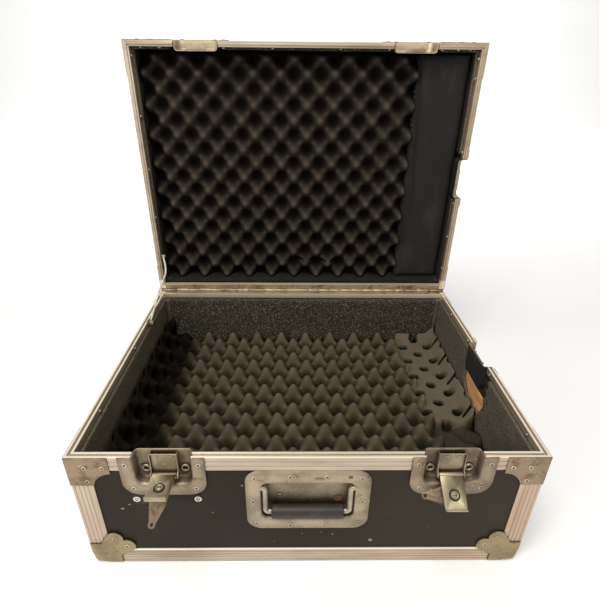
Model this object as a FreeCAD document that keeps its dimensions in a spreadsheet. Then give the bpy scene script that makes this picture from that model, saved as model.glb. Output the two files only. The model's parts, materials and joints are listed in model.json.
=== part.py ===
# Foam-lined flight case, lid open and held by its stay.
# Frame: origin on the floor under the middle of the base, +X to the right seen from the
# front, +Y to the hinged back, +Z up. Lengths in millimetres, angles in degrees.
# The lid's pieces are drawn with the lid shut and then turned open about the hinge.

import FreeCAD, Part
import math
import os

import Sketcher

Vector = FreeCAD.Vector
doc = FreeCAD.newDocument("flight_case")
sheet = doc.addObject("Spreadsheet::Sheet", "Sheet")


# ---------------------------------------------------------------- sizes
class Size:
    """A length that keeps its number and the spreadsheet expression it comes from."""

    def __init__(self, value, text):
        self.value = value
        self.text = text

    def joined(self, other, sign, value):
        return Size(value, f"({self.text} {sign} {as_size(other).text})")

    def __add__(self, other):
        return self.joined(other, "+", self.value + as_size(other).value)

    def __sub__(self, other):
        return self.joined(other, "-", self.value - as_size(other).value)

    def __mul__(self, other):
        return self.joined(other, "*", self.value * as_size(other).value)

    def __truediv__(self, other):
        return self.joined(other, "/", self.value / as_size(other).value)

    def __radd__(self, other):
        return as_size(other) + self

    def __rsub__(self, other):
        return as_size(other) - self

    def __rmul__(self, other):
        return as_size(other) * self

    def __neg__(self):
        return as_size(-1) * self


def as_size(number):
    return number if isinstance(number, Size) else Size(float(number), repr(float(number)))


sheet_row = 0


def size(alias, value):
    """A driving dimension: one cell of the sheet, with its alias."""
    global sheet_row
    sheet_row += 1
    sheet.set(f"A{sheet_row}", alias.replace("_", " "))
    sheet.set(f"B{sheet_row}", str(value))
    sheet.setAlias(f"B{sheet_row}", alias)
    return Size(float(value), f"Sheet.{alias}")


# the box
WIDTH = size("case_width", 650)
DEPTH = size("case_depth", 494)
BASE_HEIGHT = size("base_height", 222)
LID_HEIGHT = size("lid_height", 88)
SEAM = size("seam_gap", 1)
PLY = size("ply_gauge", 7)
SKIN = size("edging_gauge", 1.5)
SHEET = size("sheet_gauge", 1.2)
# aluminium extrusions
FLANGE = size("edging_flange", 30)
RIM_FLANGE = size("rim_flange", 24.5)
RIM_WIDTH = size("rim_width", 10)
RIM_WEB = size("rim_web", 2)
RIDGE = size("rim_ridge", 2)
RIB_PITCH = size("rib_pitch", 6)
RIB_GROOVE = size("rib_groove_depth", 0.5)
# steel corners
CAP = size("corner_cap_reach", 43)
LOBE_FAR = size("corner_lobe_far", 55)
LOBE_NEAR = size("corner_lobe_near", 39)
LOBE_RADIUS = size("corner_lobe_radius", 13)
BRACE = size("rim_brace_reach", 57)
BRACE_LEG = size("rim_brace_leg", 30)
LID_BRACE_DROP = size("lid_brace_drop", 16.5)
# hinge
HINGE_Y = size("hinge_axis_y", 250.5)
HINGE_Z = size("hinge_axis_height", 222.5)
PIN_RADIUS = size("hinge_pin_radius", 1.5)
KNUCKLE_RADIUS = size("hinge_knuckle_radius", 3.2)
KNUCKLE_PITCH = size("hinge_knuckle_pitch", 25)
LEAF = size("hinge_leaf_gauge", 1.2)
LID_ANGLE = size("lid_open_angle", 88.5)
FIT = size("pin_clearance", 0.06)
# carrying handle
HANDLE_WIDTH = size("handle_dish_width", 175)
HANDLE_BOTTOM = size("handle_dish_bottom", 78)
HANDLE_TOP = size("handle_dish_top", 197)
RECESS_HALF = size("handle_recess_half_width", 67)
RECESS_BOTTOM = size("handle_recess_bottom", 97)
RECESS_TOP = size("handle_recess_top", 169)
DISH_DEPTH = size("dish_depth", 17)
BAIL_RADIUS = size("bail_rod_radius", 4)
BAIL_HALF = size("bail_half_width", 61)
BAIL_PIVOT = size("bail_pivot_height", 158)
BAIL_INSET = size("bail_inset", 4)
BAIL_STUB = size("bail_stub_radius", 2.2)
GRIP_HEIGHT = size("grip_axis_height", 109)
GRIP_RADIUS = size("grip_radius", 10)
GRIP_HALF = size("grip_half_length", 52)
# latches
LATCH_X = size("latch_spacing_from_middle", 197)
SIDE_LATCH_Y = size("side_latch_y", -6)
LATCH_WIDTH = size("latch_dish_width", 115)
LATCH_DROP = size("latch_dish_drop", 70)
POCKET_HALF = size("latch_pocket_half_width", 38.5)
POCKET_DROP = size("latch_pocket_drop", 51)
ARM_INSET = size("arm_axis_inset", 4.5)
ARM_DROP = size("arm_axis_drop", 39)
ARM_REACH = size("arm_reach", 46.5)
ARM_PIN = size("arm_pin_radius", 2)
SPINDLE_REACH = size("spindle_reach", 26)
SPINDLE_RADIUS = size("spindle_radius", 5)
KEY_DROP = size("key_axis_drop", 7)
KEY_REACH = size("key_reach", 42)
KEEPER_RISE = size("keeper_dish_rise", 42)
KEEPER_POCKET = size("keeper_pocket_rise", 34)
# soft lining
SIDE_LINING = size("side_lining_gauge", 5)
FRONT_LINING = size("front_lining_gauge", 6)
REAR_LINING = size("rear_lining_gauge", 12)
FOAM_TOP = size("floor_foam_top", 129)
FOAM_CURL = size("floor_foam_curl_top", 173)
LID_FOAM_DEPTH = size("lid_foam_below_rim", 27)
FOAM_EDGE = size("lid_foam_right_edge", 212)
SLACK = size("soft_clearance", 0.3)

HALF_W = WIDTH / 2
HALF_D = DEPTH / 2
LID_BOTTOM = BASE_HEIGHT + SEAM
LID_TOP = LID_BOTTOM + LID_HEIGHT
doc.recompute()


# ---------------------------------------------------------------- makers
def bind(item, **properties):
    for name, length in properties.items():
        length = as_size(length)
        setattr(item, name, length.value)
        item.setExpression(name, length.text)


def place(item, x=0, y=0, z=0):
    for axis, length in zip("xyz", (x, y, z)):
        length = as_size(length)
        setattr(item.Placement.Base, axis, length.value)
        item.setExpression(f"Placement.Base.{axis}", length.text)


def block(name, x, y, z):
    """A box between two limits along each axis."""
    item = doc.addObject("Part::Box", name)
    bind(item, Length=x[1] - as_size(x[0]), Width=y[1] - as_size(y[0]), Height=z[1] - as_size(z[0]))
    place(item, x[0], y[0], z[0])
    return item


TURNS = {
    "X": FreeCAD.Rotation(Vector(0, 1, 0), 90),
    "Y": FreeCAD.Rotation(Vector(-1, 0, 0), 90),
    "Z": FreeCAD.Rotation(),
}


def cylinder(name, along, centre, radius, span):
    """A round bar along one axis: span is its two ends on that axis, centre its other two places."""
    item = doc.addObject("Part::Cylinder", name)
    item.Placement = FreeCAD.Placement(Vector(), TURNS[along])
    bind(item, Radius=radius, Height=span[1] - as_size(span[0]))
    spots = list(centre)
    spots.insert("XYZ".index(along), span[0])
    place(item, *spots)
    return item


def together(kind, name, items):
    item = doc.addObject(kind, name)
    if kind == "Part::Compound":
        item.Links = items
    else:
        item.Shapes = items
    return item


def fuse(name, *items):
    return together("Part::MultiFuse", name, list(items))


def compound(name, *items):
    return together("Part::Compound", name, list(items))


def common(name, *items):
    return together("Part::MultiCommon", name, list(items))


def cut(name, base, *tools):
    item = doc.addObject("Part::Cut", name)
    item.Base = base
    item.Tool = tools[0] if len(tools) == 1 else compound(f"{name}_cutters", *tools)
    return item


def rounded(name, base, radius, wanted):
    """Fillet the edges that wanted(edge) picks."""
    doc.recompute()
    item = doc.addObject("Part::Fillet", name)
    item.Base = base
    picked = [n for n, edge in enumerate(base.Shape.Edges, 1) if wanted(edge)]
    item.Edges = [(n, radius, radius) for n in picked]
    return item


def runs_along(axis):
    step = {"X": Vector(1, 0, 0), "Y": Vector(0, 1, 0), "Z": Vector(0, 0, 1)}[axis]
    return lambda edge: (edge.Vertexes[-1].Point - edge.Vertexes[0].Point).cross(step).Length < 1e-6


PLANES = {"X": "YZ_Plane", "Y": "XZ_Plane", "Z": "XY_Plane"}


def prism(name, along, outline, span):
    """A PartDesign body: an outline of straight sides padded along one axis.

    The outline's points are (y, z) along X, (x, z) along Y and (x, y) along Z.
    """
    body = doc.addObject("PartDesign::Body", name)
    sketch = body.newObject("Sketcher::SketchObject", f"{name}_outline")
    plane = [p for p in body.Origin.OriginFeatures if p.Role == PLANES[along]][0]
    sketch.AttachmentSupport = [(plane, "")]
    sketch.MapMode = "FlatFace"
    points = [(as_size(a), as_size(b)) for a, b in outline]
    for n, (a, b) in enumerate(points):
        c, d = points[(n + 1) % len(points)]
        ends = Vector(a.value, b.value, 0), Vector(c.value, d.value, 0)
        sketch.addGeometry(Part.LineSegment(*ends))
    for n, (a, b) in enumerate(points):
        sketch.addConstraint(Sketcher.Constraint("Coincident", n, 2, (n + 1) % len(points), 1))
        for kind, length in (("DistanceX", a), ("DistanceY", b)):
            spot = sketch.addConstraint(Sketcher.Constraint(kind, -1, 1, n, 1, length.value))
            sketch.setExpression(f"Constraints[{spot}]", length.text)
    pad = body.newObject("PartDesign::Pad", f"{name}_pad")
    pad.Profile = sketch
    bind(pad, Length=span[1] - as_size(span[0]))
    pad.Reversed = along == "Y"
    spots = {"X": 0, "Y": 0, "Z": 0}
    spots[along] = span[0]
    place(body, spots["X"], spots["Y"], spots["Z"])
    return body


def copy_of(name, original, placement):
    item = doc.addObject("App::Link", name)
    item.LinkedObject = original
    item.Placement = placement
    return item


def moved(x, y, z, turn=FreeCAD.Rotation()):
    return FreeCAD.Placement(Vector(*[as_size(v).value for v in (x, y, z)]), turn)


def about(axis, angle):
    return FreeCAD.Rotation(Vector(*axis), angle)


nodes = {}


def node(item, name, placement=None):
    """Name a finished piece; it becomes one node of the assembly."""
    item.Label = name
    if placement is not None:
        item.Placement = placement
    nodes[name] = item
    return item


def lid_node(item, name):
    """A finished piece of the lid, turned open about the hinge."""
    whole = compound(f"{name}_turned", item)
    turn = about((-1, 0, 0), LID_ANGLE.value)
    centre = Vector(0, HINGE_Y.value, HINGE_Z.value)
    return node(whole, name, FreeCAD.Placement(centre - turn.multVec(centre), turn))


CORNERS = [(-1, -1), (1, -1), (1, 1), (-1, 1)]
SIDES = {"front": ("X", -1), "rear": ("X", 1), "left": ("Y", -1), "right": ("Y", 1)}


# ---------------------------------------------------------------- plywood panels
INNER = SKIN + PLY
FLOOR_TOP = 2 * SKIN + PLY
RIM_UNDER = BASE_HEIGHT - RIDGE - RIM_WEB
LID_RIM_OVER = LID_BOTTOM + RIM_WEB
LID_CEILING = LID_TOP - FLOOR_TOP


def wall(name, side, low, high):
    """One upright panel, its outer face one edging gauge inside the case's face."""
    along, sign = SIDES[side]
    half = HALF_D if along == "X" else HALF_W
    faces = sorted((sign * (half - SKIN), sign * (half - INNER)), key=lambda s: s.value)
    if along == "X":
        return block(name, (SKIN - HALF_W, HALF_W - SKIN), faces, (low, high))
    return block(name, faces, (INNER - HALF_D, HALF_D - INNER), (low, high))


def latch_hole(name, drop_low, drop_high, x):
    """The slot that a recessed latch dish needs in the front wall and rims."""
    half = POCKET_HALF + SHEET + SLACK
    through = (-HALF_D - 5, DISH_DEPTH - HALF_D + 1)
    return block(name, (x - half, x + half), through, (drop_low, drop_high))


def side_hole(name, drop_low, drop_high):
    half = POCKET_HALF + SHEET + SLACK
    ends = (SIDE_LATCH_Y - half, SIDE_LATCH_Y + half)
    return block(name, (HALF_W - DISH_DEPTH - 1, HALF_W + 5), ends, (drop_low, drop_high))


POCKET_FLOOR = BASE_HEIGHT - POCKET_DROP - SHEET - SLACK
ABOVE = BASE_HEIGHT + 5
BELOW_LID = LID_BOTTOM - 5
KEEPER_ROOF = LID_BOTTOM + KEEPER_POCKET + SHEET + SLACK
base_slots = [
    latch_hole("slot_left", POCKET_FLOOR, ABOVE, -LATCH_X),
    latch_hole("slot_right", POCKET_FLOOR, ABOVE, LATCH_X),
]
lid_slots = [
    latch_hole("lid_slot_left", BELOW_LID, KEEPER_ROOF, -LATCH_X),
    latch_hole("lid_slot_right", BELOW_LID, KEEPER_ROOF, LATCH_X),
]
base_side_slot = side_hole("slot_side", POCKET_FLOOR, ABOVE)
lid_side_slot = side_hole("lid_slot_side", BELOW_LID, KEEPER_ROOF)
handle_hole = block(
    "handle_hole",
    (-RECESS_HALF - 12, RECESS_HALF + 12),
    (-HALF_D - 5, 10 - HALF_D),
    (RECESS_BOTTOM - 4, RECESS_TOP + 4),
)

inside_x = (SKIN - HALF_W, HALF_W - SKIN)
inside_y = (SKIN - HALF_D, HALF_D - SKIN)
floor = block("floor", inside_x, inside_y, (2 * SKIN, FLOOR_TOP))
node(rounded("floor_round", floor, 8, runs_along("Z")), "base_panel_bottom")
front = wall("front_blank", "front", FLOOR_TOP, RIM_UNDER)
node(cut("front_panel", front, *base_slots, handle_hole), "base_panel_front")
node(wall("rear_panel", "rear", FLOOR_TOP, RIM_UNDER - LEAF), "base_panel_rear")
node(wall("left_panel", "left", FLOOR_TOP, RIM_UNDER), "base_panel_left")
right = wall("right_blank", "right", FLOOR_TOP, RIM_UNDER)
node(cut("right_panel", right, base_side_slot), "base_panel_right")

lid_top = block("lid_top", inside_x, inside_y, (LID_CEILING, LID_TOP - 2 * SKIN))
lid_node(rounded("lid_top_round", lid_top, 8, runs_along("Z")), "lid_panel_top")
front = wall("lid_front_blank", "front", LID_RIM_OVER, LID_CEILING)
lid_node(cut("lid_front_panel", front, *lid_slots), "lid_panel_front")
lid_node(wall("lid_rear", "rear", LID_RIM_OVER + LEAF, LID_CEILING), "lid_panel_rear")
lid_node(wall("lid_left", "left", LID_RIM_OVER, LID_CEILING), "lid_panel_left")
right = wall("lid_right_blank", "right", LID_RIM_OVER, LID_CEILING)
lid_node(cut("lid_right_panel", right, lid_side_slot), "lid_panel_right")


# ---------------------------------------------------------------- aluminium edging
def ribs(reach, start):
    """Places along a flange's outer face, from the corner out, with a shallow groove per pitch."""
    points = []
    count = int((reach.value - start) // RIB_PITCH.value)
    for n in range(count):
        near = start + n * RIB_PITCH
        points += [(near, 0), (near, RIB_GROOVE), (near + 1.5, RIB_GROOVE), (near + 1.5, 0)]
    return points


def angle_outline():
    """Section of the ribbed angle: (a, b) are distances in from the two outer faces."""
    face = ribs(FLANGE, 3.5)
    ends = [(FLANGE, 0), (FLANGE, SKIN), (SKIN, SKIN), (SKIN, FLANGE), (0, FLANGE)]
    return [(0, 0)] + face + ends + [(b, a) for a, b in reversed(face)]


def rim_outline(raised):
    """Section of a rim: (a, b) are distances in from the outer face and back from the seam.

    Raised is the lid's tongue; without it the section has the groove the tongue drops into.
    """
    flange = [(0, RIM_FLANGE)]
    for n in (2, 1):
        place_b = n * 8
        flange += [(0, place_b + 1.5), (RIB_GROOVE, place_b + 1.5), (RIB_GROOVE, place_b), (0, place_b)]
    if raised:
        top = [(0, 0), (3.5, 0), (3.5, -1.5), (6.5, -1.5), (6.5, 0), (RIM_WIDTH, 0)]
        floor = RIM_WEB
    else:
        top = [(0, 0), (3, 0), (3, RIDGE), (7, RIDGE), (7, 0), (RIM_WIDTH, 0)]
        floor = RIDGE + RIM_WEB
    lip = [(RIM_WIDTH, 12), (INNER, 12), (INNER, floor), (SKIN, floor), (SKIN, RIM_FLANGE)]
    return flange + top + lip


def hinge_rim_outline():
    """The rear rims: plain, and lower by the hinge leaf that lies on them."""
    floor = LEAF + RIM_WEB
    top = [(0, RIM_FLANGE), (0, LEAF), (RIM_WIDTH, LEAF), (RIM_WIDTH, 12)]
    return top + [(INNER, 12), (INNER, floor), (SKIN, floor), (SKIN, RIM_FLANGE)]


MITRE = FLANGE + 10
OVER = 5
mitres = {}
for side, (along, sign) in SIDES.items():
    half, other = (HALF_D, HALF_W) if along == "X" else (HALF_W, HALF_D)
    wide = [(-other - OVER, sign * (half + OVER)), (other + OVER, sign * (half + OVER))]
    narrow = [(other - MITRE, sign * (half - MITRE)), (MITRE - other, sign * (half - MITRE))]
    corners = wide + narrow
    if along == "Y":
        corners = [(b, a) for a, b in corners]
    mitres[side] = prism(f"mitre_{side}", "Z", corners, (-20, LID_TOP + 20))


def strip(name, side, outline, level, up, short=0):
    """An extrusion along one side, mitred at both ends: up is +1 or -1 for where b points.

    Short is how far it stops from the case's corner, under a corner cap.
    """
    along, sign = SIDES[side]
    half, other = (HALF_D, HALF_W) if along == "X" else (HALF_W, HALF_D)
    section = [(sign * (half - a), level + up * as_size(b)) for a, b in outline]
    bar = prism(name, along, section, (short - other, other - short))
    return common(f"{name}_mitred", bar, mitres[side])


def upright(name, sx, sy, low, high):
    section = [(sx * (HALF_W - a), sy * (HALF_D - b)) for a, b in angle_outline()]
    return prism(name, "Z", section, (low, high))


ANGLE_REACH = FLANGE + SKIN
uprights = [
    upright(f"upright_{n}", sx, sy, ANGLE_REACH, BASE_HEIGHT - RIM_FLANGE)
    for n, (sx, sy) in enumerate(CORNERS)
]
node(compound("uprights", *uprights), "base_upright_edging")
uprights = [
    upright(f"lid_upright_{n}", sx, sy, LID_BOTTOM + RIM_FLANGE, LID_TOP - ANGLE_REACH)
    for n, (sx, sy) in enumerate(CORNERS)
]
lid_node(compound("lid_uprights", *uprights), "lid_upright_edging")
UNDER_CAP = 24
strips = [
    strip(f"bottom_{side}", side, angle_outline(), SKIN, 1, UNDER_CAP) for side in SIDES
]
node(compound("bottom_strips", *strips), "base_bottom_edging")
strips = [
    strip(f"top_{side}", side, angle_outline(), LID_TOP - SKIN, -1, UNDER_CAP) for side in SIDES
]
lid_node(compound("top_strips", *strips), "lid_top_edging")

groove, tongue, plain = rim_outline(False), rim_outline(True), hinge_rim_outline()
for side, outline, slots, lid_slots_here in (
    ("front", groove, base_slots, lid_slots),
    ("rear", plain, [], []),
    ("left", groove, [], []),
    ("right", groove, [base_side_slot], [lid_side_slot]),
):
    lower = strip(f"base_{side}", side, outline, BASE_HEIGHT, -1)
    lid_outline = plain if side == "rear" else tongue
    upper = strip(f"lid_{side}", side, lid_outline, LID_BOTTOM, 1)
    if slots:
        lower = cut(f"base_{side}_slotted", lower, *slots)
        upper = cut(f"lid_{side}_slotted", upper, *lid_slots_here)
    node(lower, f"base_rim_{side}")
    lid_node(upper, f"lid_rim_{side}")


# ---------------------------------------------------------------- corner caps and rim braces
def cap_face(name, along, skin):
    """One face of a corner cap: a square with two round lobes, corner at the origin."""
    reach = (-skin, CAP)
    spans = [reach, reach]
    spans.insert("XYZ".index(along), (-skin, 0))
    parts = [block(f"{name}_square", *spans)]
    for n, (a, b) in enumerate(((LOBE_FAR, LOBE_NEAR), (LOBE_NEAR, LOBE_FAR))):
        parts.append(cylinder(f"{name}_lobe_{n}", along, (a, b), LOBE_RADIUS, (-skin, 0)))
    return fuse(name, *parts)


def corner_cap(name):
    faces = [cap_face(f"{name}_{axis}", axis, SKIN) for axis in "XYZ"]
    solid = fuse(f"{name}_faces", *faces)

    def outer(edge):
        out = -SKIN.value
        low = [min(v.Point[n] for v in edge.Vertexes) for n in range(3)]
        high = [max(v.Point[n] for v in edge.Vertexes) for n in range(3)]
        return sum(abs(a - out) < 1e-6 and abs(b - out) < 1e-6 for a, b in zip(low, high)) == 2

    return rounded(f"{name}_soft", solid, 1.3, outer)


def rim_brace(name):
    """A flat steel angle round a rim corner, its lower edge hollowed to a quarter round."""
    gauge = SHEET - 0.2
    faces = []
    for along in "XY":
        spans = [(-gauge, BRACE), (-gauge, BRACE)]
        spans["XY".index(along)] = (-gauge, 0)
        plate = block(f"{name}_{along}", *spans, (-BRACE + 5, -0.5))
        centre = (BRACE + 1, -BRACE)
        hollow = cylinder(f"{name}_{along}_hollow", along, centre, BRACE - BRACE_LEG, (-gauge - 1, 1))
        faces.append(cut(f"{name}_{along}_leg", plate, hollow))
    return fuse(f"{name}_bent", *faces)


def at_corners(name, original, level, flipped):
    """Four copies of a corner piece, one at each upright corner, upside down where flipped."""
    copies = []
    for n, (sx, sy) in enumerate(CORNERS):
        quarter = {(-1, -1): 0, (1, -1): 90, (1, 1): 180, (-1, 1): 270}[(sx, sy)]
        turn = about((0, 0, 1), quarter)
        if flipped:
            turn = turn.multiply(about((1, 1, 0), 180))
        spot = moved(sx * HALF_W, sy * HALF_D, level, turn)
        copies.append(copy_of(f"{name}_{n}", original, spot))
    return compound(name, *copies)


HINGE_HALF = 287.5
HINGE_ROOM = 3.5
cap = corner_cap("cap")
brace = rim_brace("brace")
low_part = block("low_part", (-5, BRACE + 5), (-5, BRACE + 5), (-LID_BRACE_DROP, 0))
lid_brace = common("lid_brace", brace, low_part)
hinge_room = block(
    "hinge_room",
    (-HINGE_HALF - 1, HINGE_HALF + 1),
    (HALF_D - 1, HALF_D + 5),
    (BASE_HEIGHT - HINGE_ROOM, LID_BOTTOM + HINGE_ROOM),
)
base_braces = cut("base_braces", at_corners("base_brace", brace, BASE_HEIGHT, False), hinge_room)
lid_braces = cut("lid_braces", at_corners("lid_brace_set", lid_brace, LID_BOTTOM, True), hinge_room)
node(at_corners("base_caps", cap, SKIN, False), "base_ball_corners")
node(base_braces, "base_rim_braces")
lid_node(at_corners("lid_caps", cap, LID_TOP - SKIN, True), "lid_ball_corners")
lid_node(lid_braces, "lid_rim_braces")


# ---------------------------------------------------------------- continuous hinge
knuckle_count = int(2 * HINGE_HALF / KNUCKLE_PITCH.value)
KNUCKLE_GAP = 0.4


def knuckles(name, radius, first, clear):
    """Every second knuckle, longer by clear at each end when it is the room for the other leaf's."""
    bars = []
    for n in range(first, knuckle_count, 2):
        start = n * KNUCKLE_PITCH - HINGE_HALF
        trim = KNUCKLE_GAP / 2 - clear
        ends = (start + trim, start + KNUCKLE_PITCH - trim)
        bars.append(cylinder(f"{name}_{n}", "X", (HINGE_Y, HINGE_Z), radius, ends))
    return bars


def hinge_leaf(name, first, low, high):
    across = (HALF_D - RIM_WIDTH, HINGE_Y - 1)
    plate = block(f"{name}_plate", (-HINGE_HALF, HINGE_HALF), across, (low, high))
    room = knuckles(f"{name}_room", KNUCKLE_RADIUS + 0.5, 1 - first, KNUCKLE_GAP)
    leaf = cut(f"{name}_notched", plate, *room)
    rolled = fuse(f"{name}_rolled", leaf, *knuckles(f"{name}_knuckle", KNUCKLE_RADIUS, first, 0))
    reach = (-HINGE_HALF - 1, HINGE_HALF + 1)
    bore = cylinder(f"{name}_bore", "X", (HINGE_Y, HINGE_Z), PIN_RADIUS + FIT, reach)
    return cut(f"{name}_bored", rolled, bore)


node(hinge_leaf("base_leaf", 0, BASE_HEIGHT - LEAF, BASE_HEIGHT), "hinge_base_leaf")
lid_node(hinge_leaf("lid_leaf", 1, LID_BOTTOM, LID_BOTTOM + LEAF), "hinge_lid_leaf")
node(cylinder("pin", "X", (HINGE_Y, HINGE_Z), PIN_RADIUS, (-HINGE_HALF, HINGE_HALF)), "hinge_pin")


# ---------------------------------------------------------------- sheet metal dishes
def dish(name, half, low, high, pocket_half, pocket_low, pocket_high, corner, depth):
    """A pressed dish: a flange on the wall's face (y = 0) and a pocket behind it (y > 0)."""
    plate = block(f"{name}_flange", (-half, half), (-SHEET, 0), (low, high))
    plate = rounded(f"{name}_flange_round", plate, corner[0], corner[1])
    tub = block(
        f"{name}_tub",
        (-pocket_half - SHEET, pocket_half + SHEET),
        (-SHEET, depth),
        (pocket_low[0], pocket_high[0]),
    )
    room = block(
        f"{name}_room",
        (-pocket_half, pocket_half),
        (-SHEET - 1, depth - SHEET),
        (pocket_low[1], pocket_high[1]),
    )
    return cut(name, fuse(f"{name}_pressed", plate, tub), room)


def lower_corners(edge):
    return runs_along("Y")(edge) and edge.CenterOfMass.z < -LATCH_DROP.value / 2


def upper_corners(edge):
    return runs_along("Y")(edge) and edge.CenterOfMass.z > KEEPER_RISE.value / 2


latch_dish = dish(
    "latch_dish",
    LATCH_WIDTH / 2,
    -LATCH_DROP,
    as_size(0),
    POCKET_HALF,
    (-POCKET_DROP - SHEET, -POCKET_DROP),
    (as_size(0), as_size(1)),
    (24, lower_corners),
    DISH_DEPTH,
)
EYELET_X = 27
EYELET_DROP = 34
POCKET_BACK = DISH_DEPTH - SHEET
eyelets = []
for n, x in enumerate((-EYELET_X, EYELET_X)):
    spot = (x, -EYELET_DROP)
    boss = cylinder(f"eyelet_{n}_boss", "Y", spot, 6.5, (POCKET_BACK - 5, POCKET_BACK))
    eye = cylinder(f"eyelet_{n}_eye", "Y", spot, 4, (POCKET_BACK - 7, POCKET_BACK))
    eyelets.append(cut(f"eyelet_{n}", boss, eye))
latch_dish = fuse("latch_dish_with_eyelets", latch_dish, *eyelets)

keeper_dish = dish(
    "keeper_dish",
    LATCH_WIDTH / 2,
    as_size(0),
    KEEPER_RISE,
    POCKET_HALF,
    (as_size(0), as_size(-1)),
    (KEEPER_POCKET + SHEET, KEEPER_POCKET),
    (16, upper_corners),
    DISH_DEPTH,
)
STRIKE_HALF = 18
strike = block("strike", (-STRIKE_HALF, STRIKE_HALF), (9.5, POCKET_BACK), (2.4, 3.9))
keeper = fuse("keeper", keeper_dish, strike)

handle_dish = dish(
    "handle_dish_blank",
    HANDLE_WIDTH / 2,
    HANDLE_BOTTOM,
    HANDLE_TOP,
    RECESS_HALF,
    (RECESS_BOTTOM - SHEET, RECESS_BOTTOM),
    (RECESS_TOP + SHEET, RECESS_TOP),
    (22, runs_along("Y")),
    DISH_DEPTH,
)
pivot_span = (-RECESS_HALF - 3, RECESS_HALF + 3)
pivot_holes = cylinder("pivot_holes", "X", (BAIL_INSET, BAIL_PIVOT), BAIL_RADIUS + FIT, pivot_span)
front_face = moved(0, SKIN - HALF_D, 0)
node(cut("handle_dish_bored", handle_dish, pivot_holes), "handle_dish", front_face)


# ---------------------------------------------------------------- bent wire and cord
def bent_path(points, radius):
    """Straight runs through the points, joined by arcs tangent to both.

    radius is one number, or None for the largest arcs that each pair of runs allows.
    """
    edges, radii = [], []
    start = points[0]
    for before, corner, after in zip(points, points[1:], points[2:]):
        back, ahead = before - corner, after - corner
        turn = math.pi - back.getAngle(ahead)
        shorter = min(back.Length, ahead.Length)
        bend = radius or 0.45 * shorter / math.tan(turn / 2)
        setback = bend * math.tan(turn / 2)
        enter = corner + back.normalize() * setback
        leave = corner + ahead.normalize() * setback
        towards = (back + ahead).normalize()
        centre_gap = bend / math.cos(turn / 2)
        middle = corner + towards * (centre_gap - bend)
        edges.append(Part.LineSegment(start, enter).toShape())
        edges.append(Part.Arc(enter, middle, leave).toShape())
        start = leave
        radii.append(bend)
    edges.append(Part.LineSegment(start, points[-1]).toShape())
    return Part.Wire(edges), radii


def swept_rod(name, points, radius, bend=None):
    """A round rod or cord along a bent path."""
    path, radii = bent_path(points, bend)
    heading = points[1] - points[0]
    ring = Part.Wire(Part.makeCircle(radius, points[0], heading))
    item = doc.addObject("Part::Feature", name)
    item.Shape = path.makePipeShell([ring], True, False, 2)
    ideal = math.pi * radius**2 * path.Length
    print(name, "length", round(path.Length, 1), "bends", [round(r, 1) for r in radii])
    print(name, "volume over section times length", round(item.Shape.Volume / ideal, 4))
    return item


# ---------------------------------------------------------------- carrying handle
BAIL_END = RECESS_HALF.value + 1.5
STUB_END = RECESS_HALF + 9
bail_y = BAIL_INSET.value
bail_route = [
    Vector(-BAIL_END, bail_y, BAIL_PIVOT.value),
    Vector(-BAIL_HALF.value, bail_y, BAIL_PIVOT.value),
    Vector(-BAIL_HALF.value, bail_y, GRIP_HEIGHT.value),
    Vector(BAIL_HALF.value, bail_y, GRIP_HEIGHT.value),
    Vector(BAIL_HALF.value, bail_y, BAIL_PIVOT.value),
    Vector(BAIL_END, bail_y, BAIL_PIVOT.value),
]
pivot_line = (BAIL_INSET, BAIL_PIVOT)
bail_wire = swept_rod("bail_wire", bail_route, BAIL_RADIUS.value, 5.5)
bail_stubs = [
    cylinder("bail_stub_left", "X", pivot_line, BAIL_STUB, (-STUB_END, -RECESS_HALF)),
    cylinder("bail_stub_right", "X", pivot_line, BAIL_STUB, (RECESS_HALF, STUB_END)),
]
node(fuse("bail", bail_wire, *bail_stubs), "handle_bail", front_face)
grip_line = (BAIL_INSET, GRIP_HEIGHT)
grip = cylinder("grip_bar", "X", grip_line, GRIP_RADIUS, (-GRIP_HALF, GRIP_HALF))
grip_bore = cylinder("grip_bore", "X", grip_line, BAIL_RADIUS + FIT, (-GRIP_HALF - 1, GRIP_HALF + 1))
grip = rounded("grip_soft", grip, 2, lambda edge: len(edge.Vertexes) == 1)
node(cut("grip", grip, grip_bore), "handle_grip", front_face)
springs = []
for sign in (-1, 1):
    ends = sorted((sign * (RECESS_HALF.value + 2), sign * (RECESS_HALF.value + 8)))
    coil = cylinder(f"spring_{sign}", "X", pivot_line, BAIL_STUB + 1.5, ends)
    eye_ends = (ends[0] - 1, ends[1] + 1)
    eye = cylinder(f"spring_eye_{sign}", "X", pivot_line, BAIL_STUB + 0.3, eye_ends)
    springs.append(cut(f"spring_coil_{sign}", coil, eye))
node(compound("springs", *springs), "handle_springs", front_face)


# ---------------------------------------------------------------- latch pieces, drawn once
# Bracket: origin at the dish's top edge. Arm, spindle and key: origin on their own axis,
# reaching along -Y, with the face that the key hangs from downwards.
bracket_plate = block("bracket_plate", (-19, 19), (9.6, 11.1), (-ARM_DROP + 1.5, -5))
bracket_plate = rounded("bracket_plate_round", bracket_plate, 2, runs_along("Y"))
bracket_sides = [
    block(f"bracket_side_{n}", x, (ARM_INSET - 3.5, POCKET_BACK), (-ARM_DROP - 3.5, -9))
    for n, x in enumerate(((-19, -17.5), (17.5, 19)))
]
arm_line = (ARM_INSET, -ARM_DROP)
bracket_pin = cylinder("bracket_pin", "X", arm_line, ARM_PIN, (-20, 20))
bracket = fuse("bracket", bracket_plate, *bracket_sides, bracket_pin)

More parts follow.
